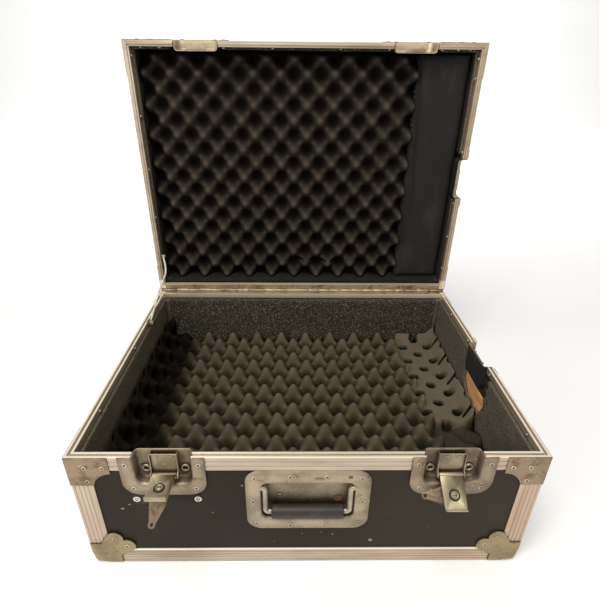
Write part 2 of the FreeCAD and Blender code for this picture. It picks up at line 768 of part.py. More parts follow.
ARM_LOW = 1.5
ARM_HIGH = 3.5
arm_outline = [(-16.5, 0), (16.5, 0), (15, -40), (14, -ARM_REACH), (-14, -ARM_REACH), (-15, -40)]
arm_plate = prism("arm_plate", "Z", arm_outline, (ARM_LOW, ARM_HIGH))
arm_barrel = cylinder("arm_barrel", "X", (0, 0), 3.9, (-16.5, 16.5))
arm_lip = block("arm_lip", (-14, 14), (-ARM_REACH, 1.5 - ARM_REACH), (ARM_LOW, 8.5))
arm_hole = cylinder("arm_hole", "Z", (0, -SPINDLE_REACH), SPINDLE_RADIUS + FIT, (0, 5))
arm_bore = cylinder("arm_bore", "X", (0, 0), ARM_PIN + FIT, (-17, 17))
arm = cut("arm", fuse("arm_blank", arm_plate, arm_barrel, arm_lip), arm_hole, arm_bore)

spindle = fuse(
    "spindle",
    cylinder("spindle_stem", "Z", (0, 0), SPINDLE_RADIUS, (-KEY_DROP - 2.5, 4)),
    cylinder("spindle_head", "Z", (0, 0), 7, (ARM_HIGH + 0.2, ARM_HIGH + 1.2)),
    cylinder("spindle_collar", "Z", (0, 0), 6.5, (ARM_LOW - 1.2, ARM_LOW - 0.2)),
    cylinder("spindle_cross_pin", "X", (0, -KEY_DROP), 1.2, (-10, 10)),
)

KEY_HALF_ROOT = 12
KEY_HALF_TIP = 4
TIP_CENTRE = 5 - KEY_REACH
key_outline = [
    (-KEY_HALF_ROOT, 2),
    (-6.2, 2),
    (-6.2, -7),
    (6.2, -7),
    (6.2, 2),
    (KEY_HALF_ROOT, 2),
    (KEY_HALF_ROOT, -12),
    (KEY_HALF_TIP, TIP_CENTRE),
    (-KEY_HALF_TIP, TIP_CENTRE),
    (-KEY_HALF_ROOT, -12),
]
key_blade = prism("key_blade", "Z", key_outline, (-0.8, 0.8))
key_tip = cylinder("key_tip", "Z", (0, TIP_CENTRE), 5, (-0.8, 0.8))
key_barrels = [
    cylinder("key_barrel_left", "X", (0, 0), 2.4, (-11, -6.2)),
    cylinder("key_barrel_right", "X", (0, 0), 2.4, (6.2, 11)),
]
key_eye = cylinder("key_eye", "Z", (0, TIP_CENTRE), 2.3, (-2, 2))
key_bore = cylinder("key_bore", "X", (0, 0), 1.2 + FIT, (-13, 13))
key = cut("key", fuse("key_blank", key_blade, key_tip, *key_barrels), key_eye, key_bore)


# ---------------------------------------------------------------- latches in place
# arm: degrees below level; twist: of the spindle from straight out; fold: of the key
# away from the arm.
side_wall = about((0, 0, 1), 90)
latches = {
    "left": (moved(-LATCH_X, -HALF_D, BASE_HEIGHT), -5, -15, 45),
    "right": (moved(LATCH_X, -HALF_D, BASE_HEIGHT), 36, -90, 0),
    "side": (moved(HALF_W, SIDE_LATCH_Y, BASE_HEIGHT, side_wall), 36, 90, 0),
}
keepers = []
for name, (spot, hang, twist, fold) in latches.items():
    arm_spot = spot.multiply(moved(0, ARM_INSET, -ARM_DROP, about((1, 0, 0), hang)))
    spindle_spot = arm_spot.multiply(moved(0, -SPINDLE_REACH, 0, about((0, 0, 1), twist)))
    key_spot = spindle_spot.multiply(moved(0, 0, -KEY_DROP, about((1, 0, 0), fold)))
    node(compound(f"{name}_dish", latch_dish), f"latch_{name}_dish", spot)
    node(compound(f"{name}_bracket", bracket), f"latch_{name}_bracket", spot)
    node(compound(f"{name}_arm", arm), f"latch_{name}_arm", arm_spot)
    node(compound(f"{name}_spindle", spindle), f"latch_{name}_spindle", spindle_spot)
    node(compound(f"{name}_key", key), f"latch_{name}_key", key_spot)
    keeper_spot = FreeCAD.Placement(spot.Base + Vector(0, 0, SEAM.value), spot.Rotation)
    keepers.append(copy_of(f"{name}_keeper", keeper, keeper_spot))
lid_node(compound("keepers", *keepers), "latch_keepers")


# ---------------------------------------------------------------- lid stay
STAY_RADIUS = 1.75
stay_route = [
    Vector(-309.2, 111, 223),
    Vector(-309.4, 146, 240),
    Vector(-308.8, 188, 268),
    Vector(-307.6, 222, 284),
    Vector(-307.0, 243, 304),
]
node(swept_rod("stay", stay_route, STAY_RADIUS), "lid_stay_cord")


def stay_anchor(name, end, before):
    """A tab on a rim's inner lip, with a bar and the ferrule that holds the end of the stay."""
    outward = (end - before).normalize()
    middle = end + outward * 5

    def around(half_y, half_z):
        return (middle.y - half_y, middle.y + half_y), (middle.z - half_z, middle.z + half_z)

    tab = block(f"{name}_tab", (-314.6, -313.1), *around(6, 5))
    bar = block(f"{name}_bar", (-313.2, -303.5), *around(2, 3))
    ferrule = compound(f"{name}_end", cylinder(f"{name}_ferrule", "Z", (0, 0), STAY_RADIUS + 1, (0, 6)))
    ferrule.Placement = FreeCAD.Placement(end, FreeCAD.Rotation(Vector(0, 0, 1), outward))
    return fuse(name, tab, bar, ferrule)


node(stay_anchor("stay_base", stay_route[0], stay_route[1]), "lid_stay_anchor_base")
node(stay_anchor("stay_lid", stay_route[-1], stay_route[-2]), "lid_stay_anchor_lid")


# ---------------------------------------------------------------- name plate and rivets
PLATE_Z = 140.5
node(
    block("plate", (-244.5, -150.5), (-HALF_D + 0.7, -HALF_D + SKIN), (PLATE_Z - 10, PLATE_Z + 10)),
    "name_plate",
)
rivet_disc = cylinder("rivet_disc", "Z", (0, 0), 3.2, (0, 0.6))
rivet_dome = cylinder("rivet_dome", "Z", (0, 0), 2.3, (0, 1.1))
rivet = fuse("rivet", rivet_disc, rivet_dome)
FACING = {
    "front": about((1, 0, 0), 90),
    "rear": about((1, 0, 0), -90),
    "left": about((0, 1, 0), -90),
    "right": about((0, 1, 0), 90),
    "up": about((1, 0, 0), 0),
    "down": about((1, 0, 0), 180),
}


def on_wall(side, along, height, proud):
    """A rivet's place: along its wall, at a height, its foot standing proud of the case's face."""
    axis, sign = SIDES[side]
    half = (HALF_D if axis == "X" else HALF_W).value + proud
    spot = Vector(along, sign * half, height) if axis == "X" else Vector(sign * half, along, height)
    return FreeCAD.Placement(spot, FACING[side])


def corner_rivets(level, up):
    """Rivets of the corner caps and rim braces that stand on one level, caps and braces alike."""
    spots = []
    for side, (axis, sign) in SIDES.items():
        half = (HALF_W if axis == "X" else HALF_D).value
        for end in (-1, 1):
            for a, b in level:
                spots.append(on_wall(side, end * (half - a), b, up))
    return spots


CAP_RIVETS = [(LOBE_NEAR.value, LOBE_FAR.value), (LOBE_FAR.value, LOBE_NEAR.value)]
BRACE_RIVETS = [(24, 19), (48, 19), (24, 44)]
base_cap_rivets = [(a, b + SKIN.value) for a, b in CAP_RIVETS]
base_brace_rivets = [(a, BASE_HEIGHT.value - b) for a, b in BRACE_RIVETS]
lid_cap_rivets = [(a, LID_TOP.value - SKIN.value - b) for a, b in CAP_RIVETS]
lid_brace_rivets = [(a, LID_BOTTOM.value + 9) for a in (24, 48)]
base_spots = corner_rivets(base_cap_rivets, SKIN.value) + corner_rivets(base_brace_rivets, 1.0)
lid_spots = corner_rivets(lid_cap_rivets, SKIN.value) + corner_rivets(lid_brace_rivets, 1.0)

HANDLE_RIVETS = [(-74, 182), (-25, 184.5), (-77.4, 135.5), (-74, 90.5), (-25, 85.5)]
for a, b in HANDLE_RIVETS:
    for mirror in (-1, 1):
        base_spots.append(on_wall("front", mirror * a, b, SHEET.value - SKIN.value))
DISH_RIVETS = [(-49, -13), (49, -13), (-43, -57), (43, -57)]
KEEPER_RIVETS = [(-49, 13), (49, 13), (-30, 38), (30, 38)]
latch_walls = [
    ("front", -LATCH_X.value),
    ("front", LATCH_X.value),
    ("right", SIDE_LATCH_Y.value),
]
for side, middle in latch_walls:
    for a, b in DISH_RIVETS:
        base_spots.append(on_wall(side, middle + a, BASE_HEIGHT.value + b, SHEET.value))
    for a, b in KEEPER_RIVETS:
        lid_spots.append(on_wall(side, middle + a, LID_BOTTOM.value + b, SHEET.value))
for x in (-240.5, -154.5):
    base_spots.append(on_wall("front", x, PLATE_Z, -0.7))
base_rivets = [copy_of(f"base_rivet_{n}", rivet, spot) for n, spot in enumerate(base_spots)]
node(compound("base_rivet_set", *base_rivets), "base_rivets")
lid_rivets = [copy_of(f"lid_rivet_{n}", rivet, spot) for n, spot in enumerate(lid_spots)]
lid_node(compound("lid_rivet_set", *lid_rivets), "lid_rivets")


# ---------------------------------------------------------------- foam and lining
def slabs(name, low, high):
    """Four lining slabs inside the walls, front and rear between the sides."""
    inner_x, inner_y = HALF_W - INNER - SLACK, HALF_D - INNER - SLACK
    across, up = (-inner_y, inner_y), (low, high)
    ends = (SIDE_LINING - inner_x, inner_x - SIDE_LINING)
    left_x = (-inner_x, SIDE_LINING - inner_x - SLACK)
    right_x = (inner_x - SIDE_LINING + SLACK, inner_x)
    return {
        "front": block(f"{name}_front", ends, (-inner_y, FRONT_LINING - inner_y), up),
        "rear": block(f"{name}_rear", ends, (inner_y - REAR_LINING, inner_y), up),
        "left": block(f"{name}_left", left_x, across, up),
        "right": block(f"{name}_right", right_x, across, up),
    }


RIM_LIP = 12
lining = slabs("lining", FLOOR_TOP + SLACK, BASE_HEIGHT - RIM_LIP - 1)
handle_room_z = (RECESS_BOTTOM - 8, RECESS_TOP + 8)
behind_front = (-HALF_D, DISH_DEPTH - HALF_D + 2)
LATCH_ROOM = 48
latch_room_x = [(sign * LATCH_X - LATCH_ROOM, sign * LATCH_X + LATCH_ROOM) for sign in (-1, 1)]
lining_room = [block("lining_room_handle", (-90, 90), behind_front, handle_room_z)]
for n, span in enumerate(latch_room_x):
    lining_room.append(block(f"lining_room_latch_{n}", span, behind_front, (160, ABOVE)))
lining["front"] = cut("lining_front_cut", lining["front"], *lining_room)
behind_side = (HALF_W - DISH_DEPTH - 2, HALF_W)
torn = block("lining_torn", behind_side, (-72, 10), (112, ABOVE))
dish_room = block("lining_room_side", behind_side, (-52, 40), (156, ABOVE))
lining["right"] = cut("lining_right_cut", lining["right"], torn, dish_room)
node(compound("lining", *lining.values()), "base_wall_lining")

foam_x = HALF_W - INNER - SIDE_LINING - 2 * SLACK
foam_front = DISH_DEPTH - HALF_D + SKIN + 0.5
foam_back = HALF_D - INNER - REAR_LINING - 2 * SLACK
bed = block("foam_bed", (-foam_x, foam_x), (foam_front, foam_back), (FLOOR_TOP + SLACK, FOAM_TOP))
curl = block("foam_curl", (-foam_x, 38 - foam_x), (foam_front, foam_back), (FOAM_TOP - 20, FOAM_CURL))
node(fuse("floor_foam", bed, curl), "base_floor_foam")

lining = slabs("lid_lining", LID_BOTTOM + RIM_LIP + 1, LID_CEILING - SLACK)
room_z = (BELOW_LID, KEEPER_ROOF + 4)
lining_room = [
    block(f"lid_room_latch_{n}", span, behind_front, room_z) for n, span in enumerate(latch_room_x)
]
lining["front"] = cut("lid_lining_front_cut", lining["front"], *lining_room)
side_room = block("lid_room_side", behind_side, (-50, 38), room_z)
lining["right"] = cut("lid_lining_right_cut", lining["right"], side_room)
lid_node(compound("lid_lining", *lining.values()), "lid_wall_lining")

foam_low = LID_BOTTOM + LID_FOAM_DEPTH
foam_high = LID_CEILING - SLACK
lid_front_room = (foam_front, foam_back)
lid_node(block("lid_foam", (-foam_x, FOAM_EDGE), lid_front_room, (foam_low, foam_high)), "lid_foam")
pad_x = (FOAM_EDGE + 1.5, HALF_W - DISH_DEPTH - 1)
lid_node(block("lid_pad", pad_x, lid_front_room, (foam_low + 2, foam_high)), "lid_pad")

doc.recompute()


# ---------------------------------------------------------------- check and write
os.makedirs("parts", exist_ok=True)
for item in doc.Objects:
    if "Invalid" in item.State or "Error" in item.State:
        raise RuntimeError(f"{item.Label} failed: {item.State}")
for name, item in nodes.items():
    if item.Shape.isNull() or not item.Shape.isValid():
        raise RuntimeError(f"{name} has no valid shape")
for name, item in nodes.items():
    item.Shape.exportStep(f"parts/{name}.step")
print(len(nodes), "nodes written")
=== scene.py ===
# %% [markdown]
# # An open flight case
#
# This scene dresses a finished set of parts: a plywood road case with aluminium edging, steel
# corners, recessed twist latches and a foam lining. The parts already have their sizes and
# places, so the work here is shape detail and finish. The first step loads the parts as a frame.

# %% Load the frame
import json
import math

import bmesh
import bpy
import numpy as np
from mathutils import Matrix, Vector, noise


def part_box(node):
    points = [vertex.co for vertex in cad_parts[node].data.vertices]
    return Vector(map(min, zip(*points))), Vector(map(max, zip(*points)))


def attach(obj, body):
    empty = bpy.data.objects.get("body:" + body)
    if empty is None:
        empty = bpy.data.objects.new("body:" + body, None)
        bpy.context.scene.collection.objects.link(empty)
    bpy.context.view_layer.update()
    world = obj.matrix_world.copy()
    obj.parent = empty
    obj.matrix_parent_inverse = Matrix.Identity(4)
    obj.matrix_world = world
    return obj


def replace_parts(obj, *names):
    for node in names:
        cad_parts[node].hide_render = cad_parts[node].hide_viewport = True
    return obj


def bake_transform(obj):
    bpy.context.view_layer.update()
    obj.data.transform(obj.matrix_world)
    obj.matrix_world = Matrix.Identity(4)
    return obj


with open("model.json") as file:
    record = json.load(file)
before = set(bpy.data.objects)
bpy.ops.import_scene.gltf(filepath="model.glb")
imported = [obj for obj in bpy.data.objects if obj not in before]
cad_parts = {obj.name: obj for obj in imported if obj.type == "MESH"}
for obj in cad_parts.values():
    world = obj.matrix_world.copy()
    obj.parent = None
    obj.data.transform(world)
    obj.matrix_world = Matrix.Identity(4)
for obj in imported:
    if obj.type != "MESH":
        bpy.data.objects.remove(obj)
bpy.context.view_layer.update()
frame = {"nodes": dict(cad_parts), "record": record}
behaviour = frame["record"]["behaviour"]
body_of = {node: body for body, nodes in behaviour["bodies"].items() for node in nodes}
MM = 0.001


# %% [markdown]
# ## Camera
#
# The case is seen from a standing person's height, a little left of the middle, looking down
# into it with a wide lens. Three turns describe such a camera: how far it turns from straight
# ahead, how far it tilts down, and how far it leans. Blender's camera looks along its own -Z
# axis, so a quarter turn about X brings it level before the tilt is taken off.

# %% Camera
EYE = (-0.0207, -0.6821, 0.6848)
TURN, TILT, LEAN = (math.radians(a) for a in (0.875, 27.586, 0.572))
LENS = 27.13


def into_scene(name, data):
    item = bpy.data.objects.new(name, data)
    bpy.context.collection.objects.link(item)
    return item


camera = into_scene("camera", bpy.data.cameras.new("camera"))
camera.data.lens = LENS
turned = Matrix.Rotation(-TURN, 4, "Z")
tilted = Matrix.Rotation(math.pi / 2 - TILT, 4, "X")
leaning = Matrix.Rotation(LEAN, 4, "Z")
camera.matrix_world = Matrix.Translation(EYE) @ turned @ tilted @ leaning
bpy.context.scene.camera = camera
print("camera at", EYE, "lens", camera.data.lens)


# %% [markdown]
# ## Light and floor
#
# A case full of dark foam needs soft light from all round, or its hollows turn black. The world
# gives most of it. One wide lamp overhead and in front models the foam's peaks, and a narrower
# one at the left puts a gleam on the metal. The plain colour transform keeps whites white. The
# floor runs far back and then sweeps up, so no horizon shows behind the case.

# %% Light and floor
world = bpy.data.worlds.new("studio")
world.use_nodes = True
background = world.node_tree.nodes["Background"]
background.inputs["Color"].default_value = (1.0, 1.0, 1.0, 1)
background.inputs["Strength"].default_value = 0.55
bpy.context.scene.world = world
bpy.context.scene.view_settings.view_transform = "Standard"


def facing(spot, way, front="Z"):
    """A place at a spot, turned so that one of its axes points a given way."""
    return Matrix.Translation(spot) @ Vector(way).to_track_quat(front, "Y").to_matrix().to_4x4()


def lamp(name, spot, aim, width, power, colour):
    light = bpy.data.lights.new(name, "AREA")
    light.size = width
    light.energy = power
    light.color = colour
    into_scene(name, light).matrix_world = facing(spot, Vector(aim) - Vector(spot), "-Z")


lamp("overhead", (-0.3, -0.9, 2.3), (0, 0.05, 0.1), 1.1, 40, (1.0, 0.965, 0.905))
lamp("backdrop", (0, 2.0, 4.5), (0, 8, 2.5), 4.0, 330, (1.0, 0.985, 0.96))
lamp("left_gleam", (-1.8, -1.6, 1.3), (0, 0, 0.15), 0.7, 14, (1.0, 0.97, 0.92))

FLOOR_HALF, SWEEP_FROM, SWEEP_ROUND, SWEEP_TOP, SWEEP_STEPS = 14, 5.0, 3.0, 12.0, 24
profile = [(-FLOOR_HALF, 0.0), (SWEEP_FROM, 0.0)]
for n in range(1, SWEEP_STEPS + 1):
    turn = math.pi / 2 * n / SWEEP_STEPS
    back, up = SWEEP_ROUND * math.sin(turn), SWEEP_ROUND * (1 - math.cos(turn))
    profile.append((SWEEP_FROM + back, up))
profile.append((SWEEP_FROM + SWEEP_ROUND, SWEEP_TOP))
mesh = bpy.data.meshes.new("floor")
spots = [(x, y, z) for y, z in profile for x in (-FLOOR_HALF, FLOOR_HALF)]
strips = [(n, n + 1, n + 3, n + 2) for n in range(0, len(spots) - 2, 2)]
mesh.from_pydata(spots, [], strips)
mesh.shade_smooth()
floor = into_scene("floor", mesh)


# %% [markdown]
# ## Tools for finishes
#
# Every finish here is a few layers: a base colour, patches of another colour where noise says
# so, darkening in corners that is grime in some finishes and painted shade in others, a
# roughness that varies, and a fine bump. A small class keeps those layers short to write.
# Positions come from object coordinates, which are the case's own metres, so a scratch stays
# where it is when a lid or a handle moves.

# %% Tools for finishes
class Finish:
    """A procedural material built up in layers on one principled shader."""

    def __init__(self, name, colour, roughness, metallic=0.0, specular=None):
        self.material = bpy.data.materials.new(name)
        self.material.use_nodes = True
        self.tree = self.material.node_tree
        self.shader = self.tree.nodes["Principled BSDF"]
        self.shader.inputs["Metallic"].default_value = metallic
        if specular is not None:
            self.shader.inputs["Specular IOR Level"].default_value = specular
        self.place = self.add("ShaderNodeTexCoord").outputs["Object"]
        self.colour = (*colour, 1)
        self.roughness = roughness
        self.height = None

    def add(self, kind, inputs=None, **settings):
        item = self.tree.nodes.new(kind)
        for key, value in settings.items():
            setattr(item, key, value)
        for key, value in (inputs or {}).items():
            if isinstance(value, bpy.types.NodeSocket):
                self.tree.links.new(value, item.inputs[key])
            else:
                item.inputs[key].default_value = value
        return item

    def speckle(self, scale, detail=3, stretch=(1, 1, 1), shift=(0, 0, 0)):
        """Cloudy noise from 0 to 1, finer as scale grows, drawn out where stretch is small."""
        inputs = {"Vector": self.place, "Scale": stretch, "Location": shift}
        spot = self.add("ShaderNodeMapping", inputs)
        inputs = {"Vector": spot.outputs["Vector"], "Scale": scale, "Detail": detail}
        return self.add("ShaderNodeTexNoise", inputs).outputs["Fac"]

    def above(self, value, low, high, top=1.0):
        """0 where value is under low, top where it is over high."""
        inputs = {"Value": value, "From Min": low, "From Max": high, "To Max": top}
        step = self.add("ShaderNodeMapRange", inputs, interpolation_type="SMOOTHSTEP")
        return step.outputs["Result"]

    def along(self, axis, low, high, top=1.0):
        """0 on one side of a place on an axis, top on the other, in metres."""
        spot = self.add("ShaderNodeSeparateXYZ", {"Vector": self.place})
        return self.above(spot.outputs[axis], low, high, top)

    def times(self, first, second):
        return self.add("ShaderNodeMath", {0: first, 1: second}, operation="MULTIPLY").outputs[0]

    def band(self, axis, limits, top=1.0):
        """top between the middle two of four places on an axis, 0 outside the outer two."""
        start, full, fade, end = limits
        return self.times(self.along(axis, start, full), self.along(axis, end, fade, top))

    def corners(self, reach, open_air=0.92, tight=0.45):
        """1 in grooves and beside raised edges, 0 in the open; with its limits swapped, 1 on open
        crests.
        """
        found = self.add("ShaderNodeAmbientOcclusion", {"Distance": reach}, samples=6)
        found.only_local = False
        return self.above(found.outputs["AO"], open_air, tight)

    def paint(self, amount, colour):
        """Lay another colour over what is there, where amount is 1."""
        inputs = {"Fac": amount, "Color1": self.colour, "Color2": (*colour, 1)}
        self.colour = self.add("ShaderNodeMixRGB", inputs).outputs["Color"]

    def mottle(self, colour, limits, scale, detail, *more):
        """Patches of a colour where noise is above its limits; more is stretch and shift."""
        self.paint(self.above(self.speckle(scale, detail, *more), *limits), colour)

    def roughen(self, amount, rough):
        inputs = {"Value": amount, "To Min": self.roughness, "To Max": rough}
        self.roughness = self.add("ShaderNodeMapRange", inputs).outputs["Result"]

    def raise_by(self, value, depth):
        """Bump: value is the height, and depth what a whole step of it measures."""
        inputs = {"Height": value, "Distance": depth, "Strength": 1.0}
        if self.height is not None:
            inputs["Normal"] = self.height
        self.height = self.add("ShaderNodeBump", inputs).outputs["Normal"]

    def done(self):
        layers = {"Base Color": self.colour, "Roughness": self.roughness, "Normal": self.height}
        for key, value in layers.items():
            if isinstance(value, bpy.types.NodeSocket):
                self.tree.links.new(value, self.shader.inputs[key])
            elif value is not None:
                self.shader.inputs[key].default_value = value
        return self.material


EVEN = (1, 1, 1)
pale = Finish("pale_floor", (0.95, 0.95, 0.95), 0.7)
pale.raise_by(pale.speckle(300), 0.0001)
floor.data.materials.append(pale.done())
print("floor finish", pale.material.name)


# %% [markdown]
# ## Tools for meshes
#
# A new piece is a list of points in millimetres and a list of faces. It rides on one of the
# frame's bodies, so it follows the lid or a latch. Hard metal parts keep the frame's own shape,
# but a knife-sharp edge never catches light, so `worn` copies such a part, joins its triangles
# into clean faces and rounds every edge a little. The copy then stands for the original.

# %% Tools for meshes
def box_mm(node):
    low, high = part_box(node)
    return low / MM, high / MM


def finish_mesh(obj, body, material):
    obj.data.materials.append(material)
    obj.data.shade_smooth()
    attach(obj, body)
    return obj


def piece(name, points, faces, body, material, slot, place=None):
    """A mesh piece from points in millimetres, with its normals turned outward."""
    shift = Matrix.Scale(MM, 4) @ (place or Matrix.Identity(4))
    mesh = bpy.data.meshes.new(name)
    mesh.from_pydata([shift @ Vector(p) for p in points], [], faces)
    work = bmesh.new()
    work.from_mesh(mesh)
    bmesh.ops.remove_doubles(work, verts=work.verts, dist=1e-6)
    bmesh.ops.recalc_face_normals(work, faces=work.faces)
    work.to_mesh(mesh)
    work.free()
    return finish_mesh(into_scene(name, mesh), body, material)


def soften(obj, width, segments=2):
    """Round the piece's sharp edges by a width in millimetres."""
    edge = obj.modifiers.new("soft_edge", "BEVEL")
    edge.width = width * MM
    edge.segments = segments
    edge.limit_method = "ANGLE"
    edge.angle_limit = math.radians(32)
    edge.harden_normals = True
    return obj


def thicken(obj, gauge):
    """Give an open sheet its gauge in millimetres, behind the way that it faces."""
    wall = obj.modifiers.new("gauge", "SOLIDIFY")
    wall.thickness = gauge * MM
    wall.offset = -1
    return wall


def worn(node, width, material, segments=2):
    """A copy of a part with rounded edges, which stands for the part itself."""
    work = bmesh.new()
    work.from_mesh(frame["nodes"][node].data)
    bmesh.ops.remove_doubles(work, verts=work.verts, dist=2e-6)
    flat = math.radians(1)
    bmesh.ops.dissolve_limit(work, angle_limit=flat, verts=work.verts, edges=work.edges)
    mesh = bpy.data.meshes.new(f"{node}_worn")
    work.to_mesh(mesh)
    work.free()
    obj = finish_mesh(into_scene(f"{node}_worn", mesh), body_of[node], material)
    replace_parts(obj, node)
    return soften(obj, width, segments)


def grid_faces(rows, columns, start=0, ring=False):
    """Quads between rows of points; a ring also joins the end of each row to its start."""
    faces = []
    for row in range(rows - 1):
        near = start + row * columns
        for column in range(columns if ring else columns - 1):
            here, after = near + column, near + (column + 1) % columns
            faces.append((here, after, after + columns, here + columns))
    return faces


def ease(value, low, high):
    """0 under low, 1 over high, and smooth between."""
    part = np.clip((value - low) / (high - low), 0, 1)
    return part * part * (3 - 2 * part)


print("sharp parts", sum("rim" in n or "edging" in n for n in frame["nodes"]))


# %% [markdown]
# ## The lid's stay cord
#
# A thin pale cord runs up the left side and stops the lid falling back. It is tied off at a
# small bracket on the base's rim and at another on the lid's, and it is nearly taut, with one
# lazy bend. Its route is the line that the maker's drawing gives, drawn a little inwards, on one
# smooth NURBS curve. A round tube follows points read back from that curve, and the pale strands
# are only a fine bump, since the cord is too thin to need more. It crosses the hinge, and it is
# not attached to the base or the lid.

# %% Stay cord
STAY_DIAMETER, STAY_SIDES = 0.0035, 14
stay_route = [
    (-0.3092, 0.111, 0.223),
    (-0.3076, 0.146, 0.240),
    (-0.3020, 0.188, 0.268),
    (-0.2960, 0.222, 0.284),
    (-0.3070, 0.243, 0.304),
]


def smooth_line(name, route):
    """Points along the NURBS curve that a route steers."""
    curve = bpy.data.curves.new(name, "CURVE")
    curve.dimensions = "3D"
    curve.resolution_u = 24
    spline = curve.splines.new("NURBS")
    spline.points.add(len(route) - 1)
    for point, spot in zip(spline.points, route):
        point.co = (*spot, 1)
    spline.order_u = 3
    spline.use_endpoint_u = True
    holder = bpy.data.objects.new(name, curve)
    mesh = bpy.data.meshes.new_from_object(holder)
    line = [v.co.copy() for v in mesh.vertices]
    bpy.data.objects.remove(holder)
    return line


def tube_along(line, radius, sides):
    """Points and faces of a round tube along a line, closed at both ends."""
    points = []
    for n, spot in enumerate(line):
        ahead = (line[min(n + 1, len(line) - 1)] - line[max(n - 1, 0)]).normalized()
        side = ahead.cross(Vector((1, 0, 0))).normalized()
        over = ahead.cross(side)
        for k in range(sides):
            turn = 2 * math.pi * k / sides
            points.append(spot + (side * math.cos(turn) + over * math.sin(turn)) * radius)
    faces = grid_faces(len(line), sides, ring=True)
    faces.append(tuple(range(sides)))
    faces.append(tuple(range(len(points) - sides, len(points))))
    return points, faces


stay_line = smooth_line("stay_line", stay_route)
cord_finish = Finish("pale_cord", (0.62, 0.60, 0.55), 0.75)
cord_finish.mottle((0.42, 0.39, 0.33), (0.45, 0.7), 180, 3)
cord_finish.raise_by(cord_finish.speckle(2500, 2, (1, 1, 0.25)), 0.0002)
stay_points, stay_faces = tube_along(stay_line, STAY_DIAMETER / 2, STAY_SIDES)
stay_mesh = bpy.data.meshes.new("stay_cord")
stay_mesh.from_pydata(stay_points, [], stay_faces)
stay_mesh.materials.append(cord_finish.done())
stay_mesh.shade_smooth()
stay = into_scene("stay_cord", stay_mesh)
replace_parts(stay, "lid_stay_cord")
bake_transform(stay)


# %% [markdown]
# ## Worn aluminium
#
# Edging like this leaves the mill bright and ribbed, then dulls to a warm grey as oil and grit
# work in. Grime and painted shade darken the grooves, long faint streaks run along its length,
# and a rust tint has washed off the steel corners, most of all at the right-hand end. Pale
# bands are painted along the base's top edge and its foot, and a painted highlight along its
# rear rim. The open lid's metal is painted browner as shade.

# %% Worn aluminium
TOP_EDGE = (0.2200, 0.2208, 0.229, 0.232)
FOOT_EDGE = (0.0278, 0.0286, 0.031, 0.032)
LIT_REAR_RIM = (0.187, 0.191, 0.246, 0.25)
RIM_EDGE = 0.35


def old_aluminium(name, colour, stretch):
    made = Finish(name, colour, 0.42, metallic=0.75)
    streaks = made.speckle(60, 4, stretch)
    made.paint(made.above(streaks, 0.42, 0.75, 0.55), (0.30, 0.235, 0.155))
    made.mottle((0.62, 0.54, 0.42), (0.5, 0.7, 0.5), 9, 2)
    made.paint(made.along("X", 0.06, 0.2, 0.22), (0.62, 0.40, 0.21))
    pits = made.above(made.speckle(420, 2), 0.68, 0.78)
    made.paint(made.times(pits, 0.6), (0.13, 0.09, 0.05))
    # Grime and painted shade darken the grooves.
    made.paint(made.times(made.corners(0.004), 0.9), (0.075, 0.055, 0.038))
    # Pale bands painted along the base's top edge and its foot.
    made.paint(made.band("Z", TOP_EDGE, 0.85), (0.94, 0.86, 0.70))
    made.paint(made.band("Z", FOOT_EDGE), (0.94, 0.87, 0.72))
    # Painted shade: the open lid's metal is darkened browner.
    made.paint(made.along("Y", 0.262, 0.27, 0.5), (0.22, 0.165, 0.135))
    # Painted highlight: the base's rear rim is lightened.
    rear = made.times(made.along("Y", 0.222, 0.226), made.band("Z", LIT_REAR_RIM, 0.75))
    made.paint(rear, (0.95, 0.84, 0.66))
    made.roughen(streaks, 0.62)
    made.raise_by(made.speckle(900, 3, stretch), 0.00006)
    made.raise_by(made.speckle(25, 2), 0.0006)
    return made.done()


rim_metal = old_aluminium("rim_aluminium", (0.53, 0.44, 0.345), (0.12, 0.12, 1.0))
upright_metal = old_aluminium("upright_aluminium", (0.54, 0.425, 0.335), (1.0, 1.0, 0.1))
for body in ("base", "lid"):
    for side in ("front", "rear", "left", "right"):
        worn(f"{body}_rim_{side}", RIM_EDGE, rim_metal)
    worn(f"{body}_upright_edging", RIM_EDGE, upright_metal)
for node in ("base_bottom_edging", "lid_top_edging"):
    worn(node, RIM_EDGE, rim_metal)


# %% [markdown]
# ## Steel corners and rim braces
#
# Each of the eight ball corners is one pressing: three flat faces with two round lobes each,
# which meet in a rounded nose. It is drawn once as three sheets of points that are pushed onto
# a rounded corner, then mirrored to its places. The braces are plain folded angles, so they keep
# their shape and only have their edges softened. Both have gone brown where the zinc wore off.

# %% Tarnished steel
def tarnished(name, colour, rust, rough=0.45, grime_and_shade_reach=0.004):
    made = Finish(name, colour, rough, metallic=0.8)
    clouds = made.speckle(28, 5)
    made.paint(made.above(clouds, 0.42, 0.68, 0.8), tuple(0.6 * c for c in colour))
    rusty = (0.60 - rust, 0.76 - rust, 0.85)
    made.mottle((0.21, 0.115, 0.055), rusty, 75, 4, EVEN, (3, 1, 2))
    # Grime in corners; with a wide reach, as in the dishes, it is painted shade on the pocket
    # walls.
    made.paint(made.times(made.corners(grime_and_shade_reach), 0.85), (0.045, 0.03, 0.017))
    made.mottle((0.72, 0.64, 0.50), (0.66, 0.74, 0.5), 260, 2)
    made.roughen(clouds, 0.68)
    made.raise_by(made.speckle(600, 3), 0.00012)
    made.raise_by(made.speckle(45, 2), 0.0008)
    return made.done()


corner_metal = tarnished("corner_steel", (0.36, 0.285, 0.16), 0.03)
brace_metal = tarnished("brace_steel", (0.33, 0.25, 0.165), 0.1)
for body in ("base", "lid"):
    worn(f"{body}_rim_braces", 0.3, brace_metal)
print("steel finishes", corner_metal.name, brace_metal.name)

